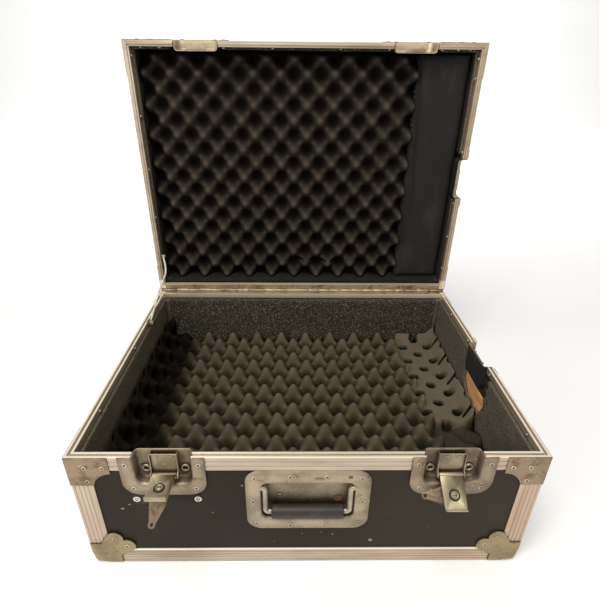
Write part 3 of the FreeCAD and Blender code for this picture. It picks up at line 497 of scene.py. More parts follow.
# %% Ball corners
CAP_REACH, CAP_GAUGE = 43, 1.5
LOBE_FAR, LOBE_NEAR, LOBE_RADIUS = 55, 39, 13
NOSE_ROUND, EDGE_ROUND = 9.0, 4.4
NOSE_END, EDGE_START = 6, 30
CAP_TURNS, CAP_RINGS, RING_CROWDING = 40, 22, 0.8
LID_TOP = 312.5


def cap_outline(turn):
    """How far the cap's face reaches from its corner, at an angle from 0 to 90 degrees."""
    direction = Vector((math.cos(turn), math.sin(turn)))
    reach = CAP_REACH / max(direction)
    for lobe in (Vector((LOBE_FAR, LOBE_NEAR)), Vector((LOBE_NEAR, LOBE_FAR))):
        along = lobe.dot(direction)
        off = abs(lobe.cross(direction))
        if off < LOBE_RADIUS:
            reach = max(reach, along + math.sqrt(LOBE_RADIUS**2 - off**2))
    return reach


def on_nose(point):
    """Push a point of the sharp corner onto the rounded one."""
    open_up = ease(max(point), NOSE_END, EDGE_START)
    round_off = NOSE_ROUND + (EDGE_ROUND - NOSE_ROUND) * float(open_up)
    heart = Vector([max(c, round_off) for c in point])
    out = point - heart
    return heart + out.normalized() * round_off if out.length > 1e-6 else point


def ball_corner():
    """One cap, with its sharp corner at the origin and its faces reaching +X, +Y and +Z."""
    points, faces = [], []
    for axis in range(3):
        start = len(points)
        for t in range(CAP_TURNS + 1):
            turn = math.pi / 2 * t / CAP_TURNS
            reach = cap_outline(turn) + CAP_GAUGE
            for r in range(CAP_RINGS + 1):
                length = reach * (r / CAP_RINGS) ** RING_CROWDING
                flat = [math.cos(turn) * length, math.sin(turn) * length]
                flat.insert(axis, 0.0)
                points.append(on_nose(Vector(flat)))
        faces += grid_faces(CAP_TURNS + 1, CAP_RINGS + 1, start)
    return points, faces


cap_points, cap_faces = ball_corner()
joints = {j["name"]: j for j in behaviour["joints"]}
lid_joint = joints["lid_hinge"]
hinge_place = Vector(lid_joint["pos_m"]) / MM
pivot = Matrix.Translation(hinge_place)
opening = Matrix.Rotation(-math.radians(lid_joint["range_deg"][1]), 4, "X")
lid_opened = pivot @ opening @ pivot.inverted()
as_is = Matrix.Identity(4)
base_low, base_high = box_mm("base_ball_corners")
for body, level, up, place in (("base", base_low.z, 1, as_is), ("lid", LID_TOP, -1, lid_opened)):
    for n, (sx, sy) in enumerate(((-1, -1), (1, -1), (1, 1), (-1, 1))):
        spot = Matrix.Translation((sx * base_high.x, sy * base_high.y, level))
        at = place @ spot @ Matrix.Diagonal((-sx, -sy, up, 1))
        name = f"{body}_ball_corner_{n}"
        cap = piece(name, cap_points, cap_faces, body, corner_metal, "corner_steel", at)
        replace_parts(cap, f"{body}_ball_corners")
        thicken(cap, CAP_GAUGE - 0.1)
        soften(cap, 0.4)


# %% [markdown]
# ## Laminate panels
#
# The plywood is faced with a brown-black laminate with a faint satin gloss. It is scuffed: pale
# scratches in a few directions, dull rubbed patches, and a few chips down to the paper below
# the name plate. The right half of the front is painted lighter as a broad reflection.

# %% Laminate
laminate = Finish("black_laminate", (0.017, 0.0115, 0.006), 0.42, specular=0.14)
rubbed = laminate.speckle(7, 5)
laminate.paint(laminate.above(rubbed, 0.48, 0.72, 0.55), (0.028, 0.021, 0.013))
# Painted reflection: the right half of the front is lighter.
laminate.paint(laminate.along("X", 0.0, 0.2, 0.6), (0.038, 0.029, 0.019))
SCRATCHES = (((0, 0, 0), (0.08, 1, 1)), ((5, 2, 1), (1, 1, 0.1)), ((1, 7, 3), (0.3, 0.3, 0.6)))
for shift, stretch in SCRATCHES:
    laminate.mottle((0.10, 0.085, 0.065), (0.73, 0.80, 0.25), 190, 2, stretch, shift)
laminate.mottle((0.36, 0.32, 0.26), (0.765, 0.785, 0.7), 95, 1, EVEN, (2, 4, 9))
laminate.roughen(rubbed, 0.62)
laminate.raise_by(laminate.speckle(700, 2), 0.00004)
panel_finish = laminate.done()
panels = [n for n in frame["nodes"] if "_panel_" in n]
for node in panels:
    slots = frame["nodes"][node].data.materials
    slots.clear()
    slots.append(panel_finish)
print("panels", len(panels))


# %% [markdown]
# ## Speckled lining
#
# The walls are lined with sheets of rebonded foam: charcoal crumbs pressed together with paler
# ones, with a slightly lumpy face. The side walls have faded lighter, and the lid's lining is
# painted darkest, as shade. Each sheet is a grid of points whose face is pushed about by noise,
# thickened back to the wall. Where the side latch comes through, the sheet has been torn away,
# so cells inside a ragged outline are left out and bare plywood shows.

# %% Lining finish
lining = Finish("speckled_lining", (0.026, 0.023, 0.016), 0.95, specular=0.15)
lining.paint(lining.along("X", -0.3, -0.307), (0.125, 0.104, 0.068))
lining.paint(lining.along("X", 0.3, 0.307), (0.125, 0.105, 0.078))
lining.mottle((0.074, 0.064, 0.046), (0.47, 0.62, 0.8), 330, 2)
lining.mottle((0.21, 0.185, 0.135), (0.61, 0.68), 430, 1, EVEN, (4, 2, 8))
lining.mottle((0.006, 0.005, 0.004), (0.64, 0.72), 300, 1, EVEN, (9, 5, 3))
lining.raise_by(lining.speckle(420, 3), 0.0009)
# Painted shade: the open lid's lining, past its rim, is darkened.
lining.paint(lining.along("Y", 0.254, 0.264, 0.85), (0.008, 0.007, 0.006))
lining_finish = lining.done()
plywood = Finish("bare_plywood", (0.78, 0.42, 0.18), 0.7)
plywood.mottle((0.33, 0.145, 0.05), (0.45, 0.65, 0.8), 60, 4, (1, 0.12, 1))
plywood.raise_by(plywood.speckle(200, 3, (1, 0.1, 1)), 0.0004)
plywood_finish = plywood.done()
print("lining finishes", lining_finish.name, plywood_finish.name)

# %% Lining sheets
CELL = 5
SIDE_GAUGE, FRONT_GAUGE, REAR_GAUGE = 5, 6, 12
LID_LEVELS = (236, 300.7)


def lumps(a, b, seed, size=30.0, depth=0.9):
    return depth * noise.noise(Vector((a / size, b / size, seed)))


def face_towards(sheet, way):
    """Turn the sheet's faces to look one way, so that it thickens away from it."""
    mesh = sheet.data
    if sum(polygon.normal.dot(way) * polygon.area for polygon in mesh.polygons) < 0:
        mesh.flip_normals()


def lining_sheet(body, side, wall, gauge, span, levels, keep, place):
    """A lining sheet; wall is (axis, sign, face), with the face that it is glued to."""
    axis, sign, face = wall
    columns, rows = (round((end - start) / CELL) + 1 for start, end in (span, levels))
    across, up = np.linspace(*span, columns), np.linspace(*levels, rows)
    points = []
    for z in up:
        for a in across:
            inward = face - sign * (gauge + lumps(a, z, face) - 0.4)
            points.append((a, inward, z) if axis == "Y" else (inward, a, z))
    faces = grid_faces(rows, columns)
    if keep:
        first = {f: (across[f[0] % columns], up[f[0] // columns]) for f in faces}
        faces = [f for f in faces if keep(first[f][0] + CELL / 2, first[f][1] + CELL / 2)]
    name = f"{body}_lining_{side}"
    sheet = piece(name, points, faces, body, lining_finish, "lining_foam", place)
    thicken(sheet, gauge - 0.5)
    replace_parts(sheet, f"{body}_wall_lining")
    way = Vector((0, -sign, 0) if axis == "Y" else (-sign, 0, 0))
    face_towards(sheet, place.to_3x3() @ way)


def right_keep(y, z):
    """False in the ragged hole of the right-hand sheet, and in the latch's square one above."""
    latch = -47 < y < 35 and z > 157
    ragged = 6 * noise.noise(Vector((y / 9, z / 9, 2.0)))
    front = -66 + 0.35 * max(0, 150 - z) + ragged
    rear = 26 - 1.1 * max(0, 146 - z) + ragged
    return not (latch or (z > 112 and front < y < rear))


LATCH_FROM, LATCH_TO, HANDLE_TO = 149, 245, 90
BASE_CUT, LID_CUT = 160, 264


def by_latch(x):
    return LATCH_FROM < abs(x) < LATCH_TO


def front_keep(x, z):
    """False where the front latches and the handle's dish come through."""
    return not (by_latch(x) and z > BASE_CUT) and not (abs(x) < HANDLE_TO and 89 < z < 177)


base_low, base_high = box_mm("base_wall_lining")
inner_x = base_high.x - SIDE_GAUGE
across_case, along_case = (-inner_x, inner_x), (base_low.y, base_high.y)
WALLS = [
    ("front", ("Y", -1, base_low.y), FRONT_GAUGE, across_case),
    ("rear", ("Y", 1, base_high.y), REAR_GAUGE, across_case),
    ("left", ("X", -1, base_low.x), SIDE_GAUGE, along_case),
    ("right", ("X", 1, base_high.x), SIDE_GAUGE, along_case),
]
base_keeps = {"front": front_keep, "right": right_keep}
lid_keeps = {
    "front": lambda x, z: not (by_latch(x) and z < LID_CUT),
    "right": lambda y, z: not (-52 < y < 40 and z < LID_CUT),
}
for side, wall, gauge, span in WALLS:
    levels = (base_low.z, base_high.z)
    lining_sheet("base", side, wall, gauge, span, levels, base_keeps.get(side), as_is)
for side, wall, gauge, span in WALLS:
    lining_sheet("lid", side, wall, gauge, span, LID_LEVELS, lid_keeps.get(side), lid_opened)

# %% Bare plywood
PATCH_FACE = base_high.x + 0.1
PATCH_ROWS, PATCH_COLUMNS = 12, 21
patch = []
for z in np.linspace(108, 160, PATCH_ROWS):
    for y in np.linspace(-72, 32, PATCH_COLUMNS):
        dip = 0.25 + 0.3 * noise.noise(Vector((y / 7, z / 20, 5)))
        patch.append((PATCH_FACE - dip, y, z))
patch_faces = grid_faces(PATCH_ROWS, PATCH_COLUMNS)
bare = piece("bare_plywood", patch, patch_faces, "base", plywood_finish, "black_laminate")
thicken(bare, 0.2)
print("bare patch", len(bare.data.polygons), "faces")


# %% [markdown]
# ## Convoluted foam
#
# Egg-crate foam is cut so that peaks and hollows alternate on a lattice, and the product of two
# cosines has just that shape. The floor sheet is a strip of points whose middle line lies flat
# and then bends up the left wall; each point stands off that line by the lattice's height. At
# the right the sheet lies upside down: its back is flat, with a hole where each hollow was, and
# its torn edge curls a little up the wall. That piece is paler, since its back never saw the
# grime. The hollows are darkened as painted shade, and the strip up the left wall and the low
# foam at the front right as painted shadow. The lid's foam is painted darker as shade, with a
# painted highlight on its peaks.

# %% Foam finish
def foam_finish(name, colour, crest, shadow_strip_from=None, crest_highlight=None):
    made = Finish(name, colour, 0.92, specular=0.03)
    # A painted highlight on the open crests, where one is given.
    if crest_highlight:
        made.paint(made.corners(0.035, 0.77, 0.92), crest_highlight)
    made.mottle(crest, (0.45, 0.7, 0.6), 16, 3)
    made.mottle((0.22, 0.2, 0.16), (0.77, 0.8, 0.5), 240, 1, EVEN, (3, 3, 3))
    if shadow_strip_from:
        right = made.along("X", 0.214, 0.232)
        back_part = made.times(right, made.along("Y", -0.06, -0.054, 0.8))
        made.paint(back_part, (0.130, 0.109, 0.078))
        # Painted shadow over the low foam at the front right.
        shaded_front_part = made.times(right, made.along("Y", -0.06, -0.066, 0.8))
        made.paint(shaded_front_part, (0.034, 0.028, 0.018))
        # Painted shadow: the strip up the left wall goes nearly black.
        made.paint(made.along("X", *shadow_strip_from, 0.97), (0.0085, 0.0066, 0.0042))
    # Painted shade in the hollows.
    made.paint(made.times(made.corners(0.04, 0.8, 0.34), 0.96), (0.0035, 0.003, 0.0022))
    made.raise_by(made.speckle(900, 2), 0.0003)
    return made.done()


# The strip that stands up against the left wall is painted nearly black as shadow.
SHADOW_STRIP_FROM = (-0.222, -0.258)
floor_colours = (0.090, 0.073, 0.046), (0.122, 0.100, 0.064)
floor_foam_finish = foam_finish("floor_foam", *floor_colours, SHADOW_STRIP_FROM)
# The lid's foam is a darker copy painted as shade, with a painted highlight on its peaks.
shaded_lid_colours = (0.019, 0.0155, 0.0135), (0.028, 0.0225, 0.019)
shaded_lid_foam_finish = foam_finish("lid_foam", *shaded_lid_colours, crest_highlight=(0.066, 0.053, 0.041))
print("foam finishes", floor_foam_finish.name, shaded_lid_foam_finish.name)

# %% Floor foam
PITCH = (28.1, 27.5)
FIRST_PEAK = (6.6, 217.0)
STEP = 2.4
foam_low, foam_high = box_mm("base_floor_foam")
BEND_X = -266.0
BEND_ACROSS = 34.0
MIDDLE = 111.0
BEND_UP = 30.0
STAND_UP = 26.0


def crate(along, across, first=FIRST_PEAK, pitch=PITCH):
    """The lattice's wave: 1 on a peak and -1 in a hollow."""
    lengthwise = np.cos(np.pi * (along - first[0]) / pitch[0])
    return lengthwise * np.cos(np.pi * (across - first[1]) / pitch[1])


def peaked(wave):
    """Narrow crests and wider hollows."""
    return np.where(wave > 0, np.abs(wave) ** 1.2, -np.abs(wave) ** 0.9)


def middle_line(along):
    """The sheet's middle: its place and the way it faces, at a distance along it."""
    bend = math.pi / 4 * (BEND_ACROSS + BEND_UP)
    turn = np.clip((BEND_X - along) / bend, 0, 1) * np.pi / 2
    climb = np.clip(BEND_X - along - bend, 0, None)
    x = np.where(along < BEND_X, BEND_X - BEND_ACROSS * np.sin(turn), along)
    z = MIDDLE + BEND_UP * (1 - np.cos(turn)) + climb
    return x, z, np.sin(turn), np.cos(turn)


SIDE_SLITS, REAR_SLIT = (188, 122, 55, -40), 266


def floor_height(x, y, wave):
    """Height of the foam right of the bend."""
    height = MIDDLE + 19 * peaked(wave)
    edge = 214 + 0.05 * (226 - y) + 5 * wave
    low_part = 98 + 7 * peaked(wave)
    holes = 26 * ease(-wave, 0.44, 0.76)
    upside_down = 107.5 - holes + 0.8 * np.sin(x / 11) * np.sin(y / 17)
    slits = sum(np.exp(-(((y - 0.6 * (x - 300) - spot) / 2.2) ** 2)) for spot in SIDE_SLITS)
    upside_down = upside_down + 22 * ease(x, 284, 311) - 26 * slits * ease(x, 290, 296)
    rear_slit = np.exp(-(((x - REAR_SLIT) / 2.5) ** 2))
    upside_down = upside_down + 16 * ease(y, 205, 226) - 22 * rear_slit * ease(y, 208, 214)
    right_part = low_part + (upside_down - low_part) * ease(y, -62, -56)
    return height + (right_part - height) * ease(x, edge - 3, edge + 6)


def closed_slab(top, floor_level, outer_low=None):
    """Close a grid of top points with skirts and a flat underside."""
    rows, columns, _ = top.shape
    points = [tuple(p) for p in top.reshape(-1, 3)]
    faces = grid_faces(rows, columns)
    ring = [(0, c) for c in range(columns)] + [(r, columns - 1) for r in range(1, rows)]
    ring += [(rows - 1, c) for c in range(columns - 2, -1, -1)]
    ring += [(r, 0) for r in range(rows - 2, 0, -1)]
    start = len(points)
    for r, c in ring:
        x, y, _ = top[r, c]
        points.append((x if outer_low is None or c else outer_low, y, floor_level))
    for n, (r, c) in enumerate(ring):
        after = (n + 1) % len(ring)
        r2, c2 = ring[after]
        faces.append((r * columns + c, r2 * columns + c2, start + after, start + n))
    faces.append(tuple(range(start, start + len(ring))))
    return points, faces


reach_up = math.pi / 4 * (BEND_ACROSS + BEND_UP) + STAND_UP
along = np.arange(BEND_X - reach_up, foam_high.x, STEP)
across = np.arange(foam_low.y, foam_high.y, STEP)
along, across = np.meshgrid(along, across)
wave = crate(along, across)
x, z, out_x, out_z = middle_line(along)
depth = 10 + 9 * out_z
bent_x = x + depth * peaked(wave) * out_x
bent_z = z + depth * peaked(wave) * out_z
flat = ease(along, BEND_X, BEND_X + 12)
height = bent_z + (floor_height(along, across, wave) - bent_z) * flat
bent_x = np.clip(bent_x, foam_low.x, foam_high.x)
height = np.minimum(height, foam_high.z)
top = np.stack([bent_x, across, height], axis=-1)
points, faces = closed_slab(top, foam_low.z, foam_low.x)
floor_foam = piece("floor_foam", points, faces, "base", floor_foam_finish, "acoustic_foam")
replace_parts(floor_foam, "base_floor_foam")
print("floor foam", len(floor_foam.data.vertices), "points")

# %% Lid foam
LID_PITCH = (25.7, 27.7)
LID_PEAK = (-149.8, -82.5)
LID_FOAM_LOW, LID_FOAM_HIGH = 242.0, 300.5
LID_MIDDLE, LID_DEPTH = 258.5, 16
FOAM_EDGE = 211.8
LID_STEP = 3.0
along = np.arange(-310.6, FOAM_EDGE, LID_STEP)
along, across = np.meshgrid(along, np.arange(-227.8, 225.8, LID_STEP))
wave = crate(along, across, LID_PEAK, LID_PITCH)
height = LID_MIDDLE - LID_DEPTH * peaked(wave)
height = height + 1.5 * np.sin(along / 47) * np.cos(across / 61)
cuts = ((35, 189, 20, 0.05), (72, 190, 12, -0.1), (-8, 186, 14, 0.2))
for cut_x, cut_y, half, slope in cuts:
    off = across - cut_y - slope * (along - cut_x)
    height = height + 13 * np.exp(-((off / 1.8) ** 2)) * ease(half - np.abs(along - cut_x), 0, 6)
height = np.clip(height, LID_FOAM_LOW, LID_FOAM_HIGH)
points, faces = closed_slab(np.stack([along, across, height], axis=-1), LID_FOAM_HIGH)
look = (shaded_lid_foam_finish, "acoustic_foam")
lid_foam = piece("lid_foam_sheet", points, faces, "lid", *look, lid_opened)
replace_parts(lid_foam, "lid_foam")
print("lid foam", len(lid_foam.data.vertices), "points")


# %% [markdown]
# ## Canvas-covered pad
#
# At the lid's right end the foam is a plain block under dark woven cloth. Seen close, it is
# slightly crowned with rounded edges, and the cloth has one long crease down its left side. The
# weave is two crossed bands of fine bump.

# %% Cloth pad
def woven(name, colour, worn_colour):
    made = Finish(name, colour, 0.85, specular=0.2)
    made.mottle(worn_colour, (0.5, 0.68, 0.7), 22, 4, (1, 1, 0.4))
    made.mottle((0.2, 0.19, 0.16), (0.74, 0.78, 0.5), 350, 1)
    for turn in (0.0, math.pi / 2):
        inputs = {"Vector": made.place, "Rotation": (0.03, turn + 0.7, 0)}
        thread = made.add("ShaderNodeMapping", inputs)
        inputs = {"Vector": thread.outputs["Vector"], "Scale": 260, "Distortion": 0.6}
        made.raise_by(made.add("ShaderNodeTexWave", inputs).outputs["Fac"], 0.0008)
    made.shader.inputs["Sheen Weight"].default_value = 0.08
    return made.done()


cloth = woven("pad_cloth", (0.017, 0.0150, 0.0125), (0.042, 0.037, 0.031))
PAD_LEFT, PAD_RIGHT = 213.6, 307.0
PAD_FRONT, PAD_REAR = -227.8, 225.6
PAD_LOW, PAD_HIGH = 243.0, 300.5
PAD_COLUMNS, PAD_ROWS = 41, 121
across = np.linspace(PAD_LEFT, PAD_RIGHT, PAD_COLUMNS)
across, ahead = np.meshgrid(across, np.linspace(PAD_FRONT, PAD_REAR, PAD_ROWS))
from_side = np.minimum(across - PAD_LEFT, PAD_RIGHT - across)
inset = np.minimum(from_side, np.minimum(ahead - PAD_FRONT, PAD_REAR - ahead))
crown = 9 * (1 - ease(inset, -2, 14)) ** 1.5
crease_x = 217 + 9 * (ahead + 215) / 193
crease = 7.0 * np.exp(-(((across - crease_x) / 2.4) ** 2)) * ease(-ahead, -150, 60)
sway = 1.6 * (1 + np.sin(ahead / 31 + across / 40) * np.cos(across / 23))
height = PAD_LOW + crown + crease + sway
for r, c in np.ndindex(height.shape):
    spot = Vector((across[r, c] / 16, ahead[r, c] / 26, 7.0))
    height[r, c] += 1.2 * (1 + noise.noise(spot))
height = np.clip(height, PAD_LOW, PAD_HIGH)
points, faces = closed_slab(np.stack([across, ahead, height], axis=-1), PAD_HIGH)
pad = piece("canvas_pad", points, faces, "lid", cloth, "pad_cloth", lid_opened)
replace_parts(pad, "lid_pad")
print("pad", len(pad.data.vertices), "points")


# %% [markdown]
# ## Pressed dishes
#
# A recessed dish is one piece of sheet steel: a flat flange riveted to the wall, a soft bend at
# the mouth, and a pocket with rounded walls. Each is lofted from outlines that have the same
# number of points: the flange's edge, the mouth, and smaller ones further in. Latch dishes are
# open at the seam. Their backs are painted black, which is what shows inside the case.

# %% Dish steel
dish_metal = tarnished("dish_steel", (0.44, 0.36, 0.25), 0.0, 0.4)
# The latch and handle dishes reach wide, so their pocket walls are darkened as painted shade.
latch_dish_metal = tarnished("latch_dish_steel", (0.36, 0.29, 0.195), 0.02, 0.38, grime_and_shade_reach=0.022)
handle_dish_metal = tarnished("handle_dish_steel", (0.43, 0.36, 0.25), 0.0, 0.42, grime_and_shade_reach=0.022)
black_back = Finish("black_back", (0.018, 0.017, 0.016), 0.5).done()
print("dish finishes", dish_metal.name, latch_dish_metal.name, handle_dish_metal.name)

# %% Dish outlines
LIP_LEVEL = -0.3
COUNT = 84

def arc(middle, radius, start, end, steps=8):
    turns = [math.radians(start + (end - start) * n / steps) for n in range(steps + 1)]
    return [(middle[0] + radius * math.cos(t), middle[1] + radius * math.sin(t)) for t in turns]


def spread(outline, count):
    """The outline again, with a set number of points at even distances."""
    line = np.array(outline)
    run = np.concatenate([[0], np.cumsum(np.hypot(*np.diff(line, axis=0).T))])
    even = np.linspace(0, run[-1], count)
    return np.stack([np.interp(even, run, line[:, 0]), np.interp(even, run, line[:, 1])], axis=-1)


def open_outline(half, drop, radius):
    """Down one side, round two corners and up the other, as seen from the front."""
    straight = drop - radius
    left = [(-half, LIP_LEVEL - straight * n / 10) for n in range(10)]
    right = [(half, radius - drop + (straight + LIP_LEVEL) * n / 10) for n in range(1, 11)]
    bottom = [(radius - half + (half - radius) * 2 * n / 12, -drop) for n in range(1, 12)]
    first = arc((radius - half, radius - drop), radius, 180, 270)
    second = arc((half - radius, radius - drop), radius, 270, 360)
    return left + first + bottom + second + right


def closed_outline(half, low, high, radius):
    points = []
    corners = ((half - radius, high - radius, 0), (radius - half, high - radius, 90))
    corners += ((radius - half, low + radius, 180), (half - radius, low + radius, 270))
    for x, z, start in corners:
        points += arc((x, z), radius, start, start + 90, 10)
    return points


# Each row is half the width, the depth down the wall, the corner's radius and how far back.
LATCH_ROWS = [
    (57.5, 70, 24, -1.2),
    (45.0, 58.5, 15, -1.2),
    (41.0, 53.5, 13, -0.7),
    (39.0, 51.5, 12, 1.0),
    (38.3, 50.6, 11, 4.0),
    (37.6, 49.9, 11, 11.5),
    (36.5, 48.8, 10, 14.8),
    (33.0, 45.5, 8, 15.8),
]
KEEPER_ROWS = [
    (57.5, 42, 16, -1.2),
    (43.0, 37.5, 12, -1.2),
    (40.0, 34.8, 11, -0.6),
    (38.5, 33.6, 10, 1.0),
    (37.5, 32.8, 9, 11.5),
    (36.0, 31.5, 8, 14.8),
    (33.0, 28.5, 7, 15.8),
]
# The handle's rows give the lowest and highest point in place of one depth.
HANDLE_ROWS = [
    (87.5, 78, 197, 22, -1.2),
    (72.0, 90, 177, 14, -1.2),
    (68.5, 94.5, 172, 12, -0.6),
    (66.5, 97, 169.5, 11, 1.2),
    (65.5, 98, 168, 10, 4.0),
    (64.5, 99, 165, 10, 11.5),
    (63.0, 101, 162, 9, 14.8),
    (59.0, 105, 158, 7, 15.8),
]
latch_rings = [(spread(open_outline(*row), COUNT), depth) for *row, depth in LATCH_ROWS]
keeper_rings = [(spread(open_outline(*row), COUNT), depth) for *row, depth in KEEPER_ROWS]
keeper_rings = [(outline * (1, -1), depth) for outline, depth in keeper_rings]
handle_rings = [(closed_outline(*row), depth) for *row, depth in HANDLE_ROWS]
print("outlines", len(latch_rings), len(keeper_rings), len(handle_rings))

# %% Dishes
BASE_TOP, LID_BASE = 222, 223
HALF_W, HALF_D = 325, 247
FORWARD, SIDEWAYS = (Matrix.Rotation(math.pi / 2, 4, axis) for axis in "XY")
STEEL = "plated_steel"


def lofted(name, rings, closed, body, place, node, metal):
    """A pressed sheet through rings, each an outline and its depth behind the wall's face."""
    points = [(x, depth, z) for outline, depth in rings for x, z in outline]
    count = len(rings[0][0])
    faces = grid_faces(len(rings), count, ring=closed)
    faces.append(tuple(range(len(points) - count, len(points))))
    sheet = piece(name, points, faces, body, metal, STEEL, place)
    face_towards(sheet, place.to_3x3() @ Vector((0, -1, 0)))
    sheet.data.materials.append(black_back)
    gauge = thicken(sheet, 1.1)
    gauge.material_offset = 1
    gauge.material_offset_rim = 0
    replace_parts(sheet, node)


def box_points(x, y, z):
    """Corners and faces of a box between limits."""
    corners = ((x[0], y[0]), (x[1], y[0]), (x[1], y[1]), (x[0], y[1]))
    points = [(a, b, c) for c in z for a, b in corners]
    faces = [(0, 1, 2, 3), (4, 5, 6, 7), (0, 1, 5, 4), (1, 2, 6, 5), (2, 3, 7, 6), (3, 0, 4, 7)]
    return points, faces


latch_spots = {
    "left": Matrix.Translation((-197, -HALF_D, 0)),
    "right": Matrix.Translation((197, -HALF_D, 0)),
    "side": Matrix.Translation((HALF_W, -6, 0)) @ Matrix.Rotation(math.pi / 2, 4, "Z"),
}
STRIKE = box_points((-18, 18), (9.5, 15.7), (2.4, 3.9))
for side, spot in latch_spots.items():
    at_base = Matrix.Translation((0, 0, BASE_TOP)) @ spot
    at_lid = lid_opened @ Matrix.Translation((0, 0, LID_BASE)) @ spot
    name, node = f"latch_{side}_dish_pressed", f"latch_{side}_dish"
    lofted(name, latch_rings, False, "base", at_base, node, latch_dish_metal)
    lofted(f"keeper_{side}_dish", keeper_rings, False, "lid", at_lid, "latch_keepers", dish_metal)
    soften(piece(f"keeper_{side}_strike", *STRIKE, "lid", dish_metal, STEEL, at_lid), 0.5)
at = Matrix.Translation((0, 1.5 - HALF_D, 0))
name, node = "handle_dish_pressed", "handle_dish"
lofted(name, handle_rings, True, "base", at, node, handle_dish_metal)
print("handle dish spans", *box_mm("handle_dish"))


# %% [markdown]
# ## Latches
#
# Each twist latch is a bracket riveted in its dish, a flat arm on a pin, and a spindle through
# the arm with a folding key below. The parts have their working shape already; here their edges
# are rounded and they are given old nickel plate and, for the keys, deep brown rust. The bracket
# is folded again as a tray with ears and dimples. The spindle gets a slotted head with painted
# shade in the slot, the arm a painted dark ring of shadow round it, and the dish its two eyelets
# with painted shade in their holes.

# %% Latch finishes
latch_metal = tarnished("latch_plate", (0.42, 0.36, 0.235), -0.01, 0.3)
dark_steel = tarnished("bracket_plate", (0.42, 0.36, 0.24), 0.0, 0.34, grime_and_shade_reach=0.006)
key_rust = Finish("key_rust", (0.165, 0.12, 0.072), 0.5, metallic=0.6)
key_rust.mottle((0.06, 0.032, 0.018), (0.5, 0.66, 0.7), 110, 4)
key_rust.mottle((0.26, 0.195, 0.125), (0.58, 0.7, 0.6), 60, 3, EVEN, (2, 5, 1))
key_rust.raise_by(key_rust.speckle(500, 3), 0.0003)
key_rust = key_rust.done()
for side in latch_spots:
    worn(f"latch_{side}_arm", 0.4, latch_metal)
    worn(f"latch_{side}_spindle", 0.3, latch_metal)
    worn(f"latch_{side}_key", 0.35, key_rust)
print("latches", len(latch_spots))

# %% Latch brackets
TRAY_HALF, TRAY_TOP, TRAY_FOOT = 18.9, -5.0, -37.5
TRAY_FACE, TRAY_BACK, TRAY_LIP, TRAY_TOP_LIP = 10.6, 15.6, 7.4, 9.5
TRAY_WALL, TRAY_GAUGE = 1.4, 1.3
PIN_Y, PIN_Z = 4.5, -39.0


def joined(parts):
    points, faces = [], []
    for more_points, more_faces in parts:
        start = len(points)
        points += more_points
        faces += [tuple(start + i for i in face) for face in more_faces]
    return points, faces


def side_wall(low, high):
    """One side of the tray, with an ear that comes forward round the pin."""
    ear = [(TRAY_LIP, TRAY_TOP), (TRAY_LIP, PIN_Z + 9), (PIN_Y + 1, PIN_Z + 5)]
    ear += [(1.2, PIN_Z + 3.2), (1.0, PIN_Z - 2.0), (2.6, PIN_Z - 3.4)]
    ear += [(TRAY_BACK, PIN_Z - 3.4), (TRAY_BACK, TRAY_TOP)]
    points = [(x, y, z) for x in (low, high) for y, z in ear]
    count = len(ear)
    faces = [tuple(range(count)), tuple(range(count, 2 * count))]
    return points, faces + grid_faces(2, count, ring=True)


inner = TRAY_HALF - TRAY_WALL
face_back = TRAY_FACE + TRAY_GAUGE
lip = (TRAY_TOP - TRAY_GAUGE, TRAY_TOP)
tray_parts = [
    box_points((-inner, inner), (TRAY_FACE, face_back), (TRAY_FOOT, TRAY_TOP)),
    box_points((-TRAY_HALF, TRAY_HALF), (TRAY_TOP_LIP, face_back), lip),
    side_wall(-TRAY_HALF, -inner),
    side_wall(inner, TRAY_HALF),
]
for side, spot in latch_spots.items():
    at = Matrix.Translation((0, 0, BASE_TOP)) @ spot
    tray = piece(f"latch_{side}_tray", *joined(tray_parts), "base", dark_steel, STEEL, at)
    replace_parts(soften(tray, 0.45), f"latch_{side}_bracket")

# %% Eyelets, pins and dimples
def turned_shape(profile, sides=20):
    """Points and faces of a shape turned about Z from a profile of (radius, height)."""
    points = []
    for radius, height in profile:
        for k in range(sides):
            turn = 2 * math.pi * k / sides
            points.append((radius * math.cos(turn), radius * math.sin(turn), height))
    faces = grid_faces(len(profile), sides, ring=True)
    faces.append(tuple(range(len(points) - sides, len(points))))
    faces.append(tuple(range(sides)))
    return points, faces


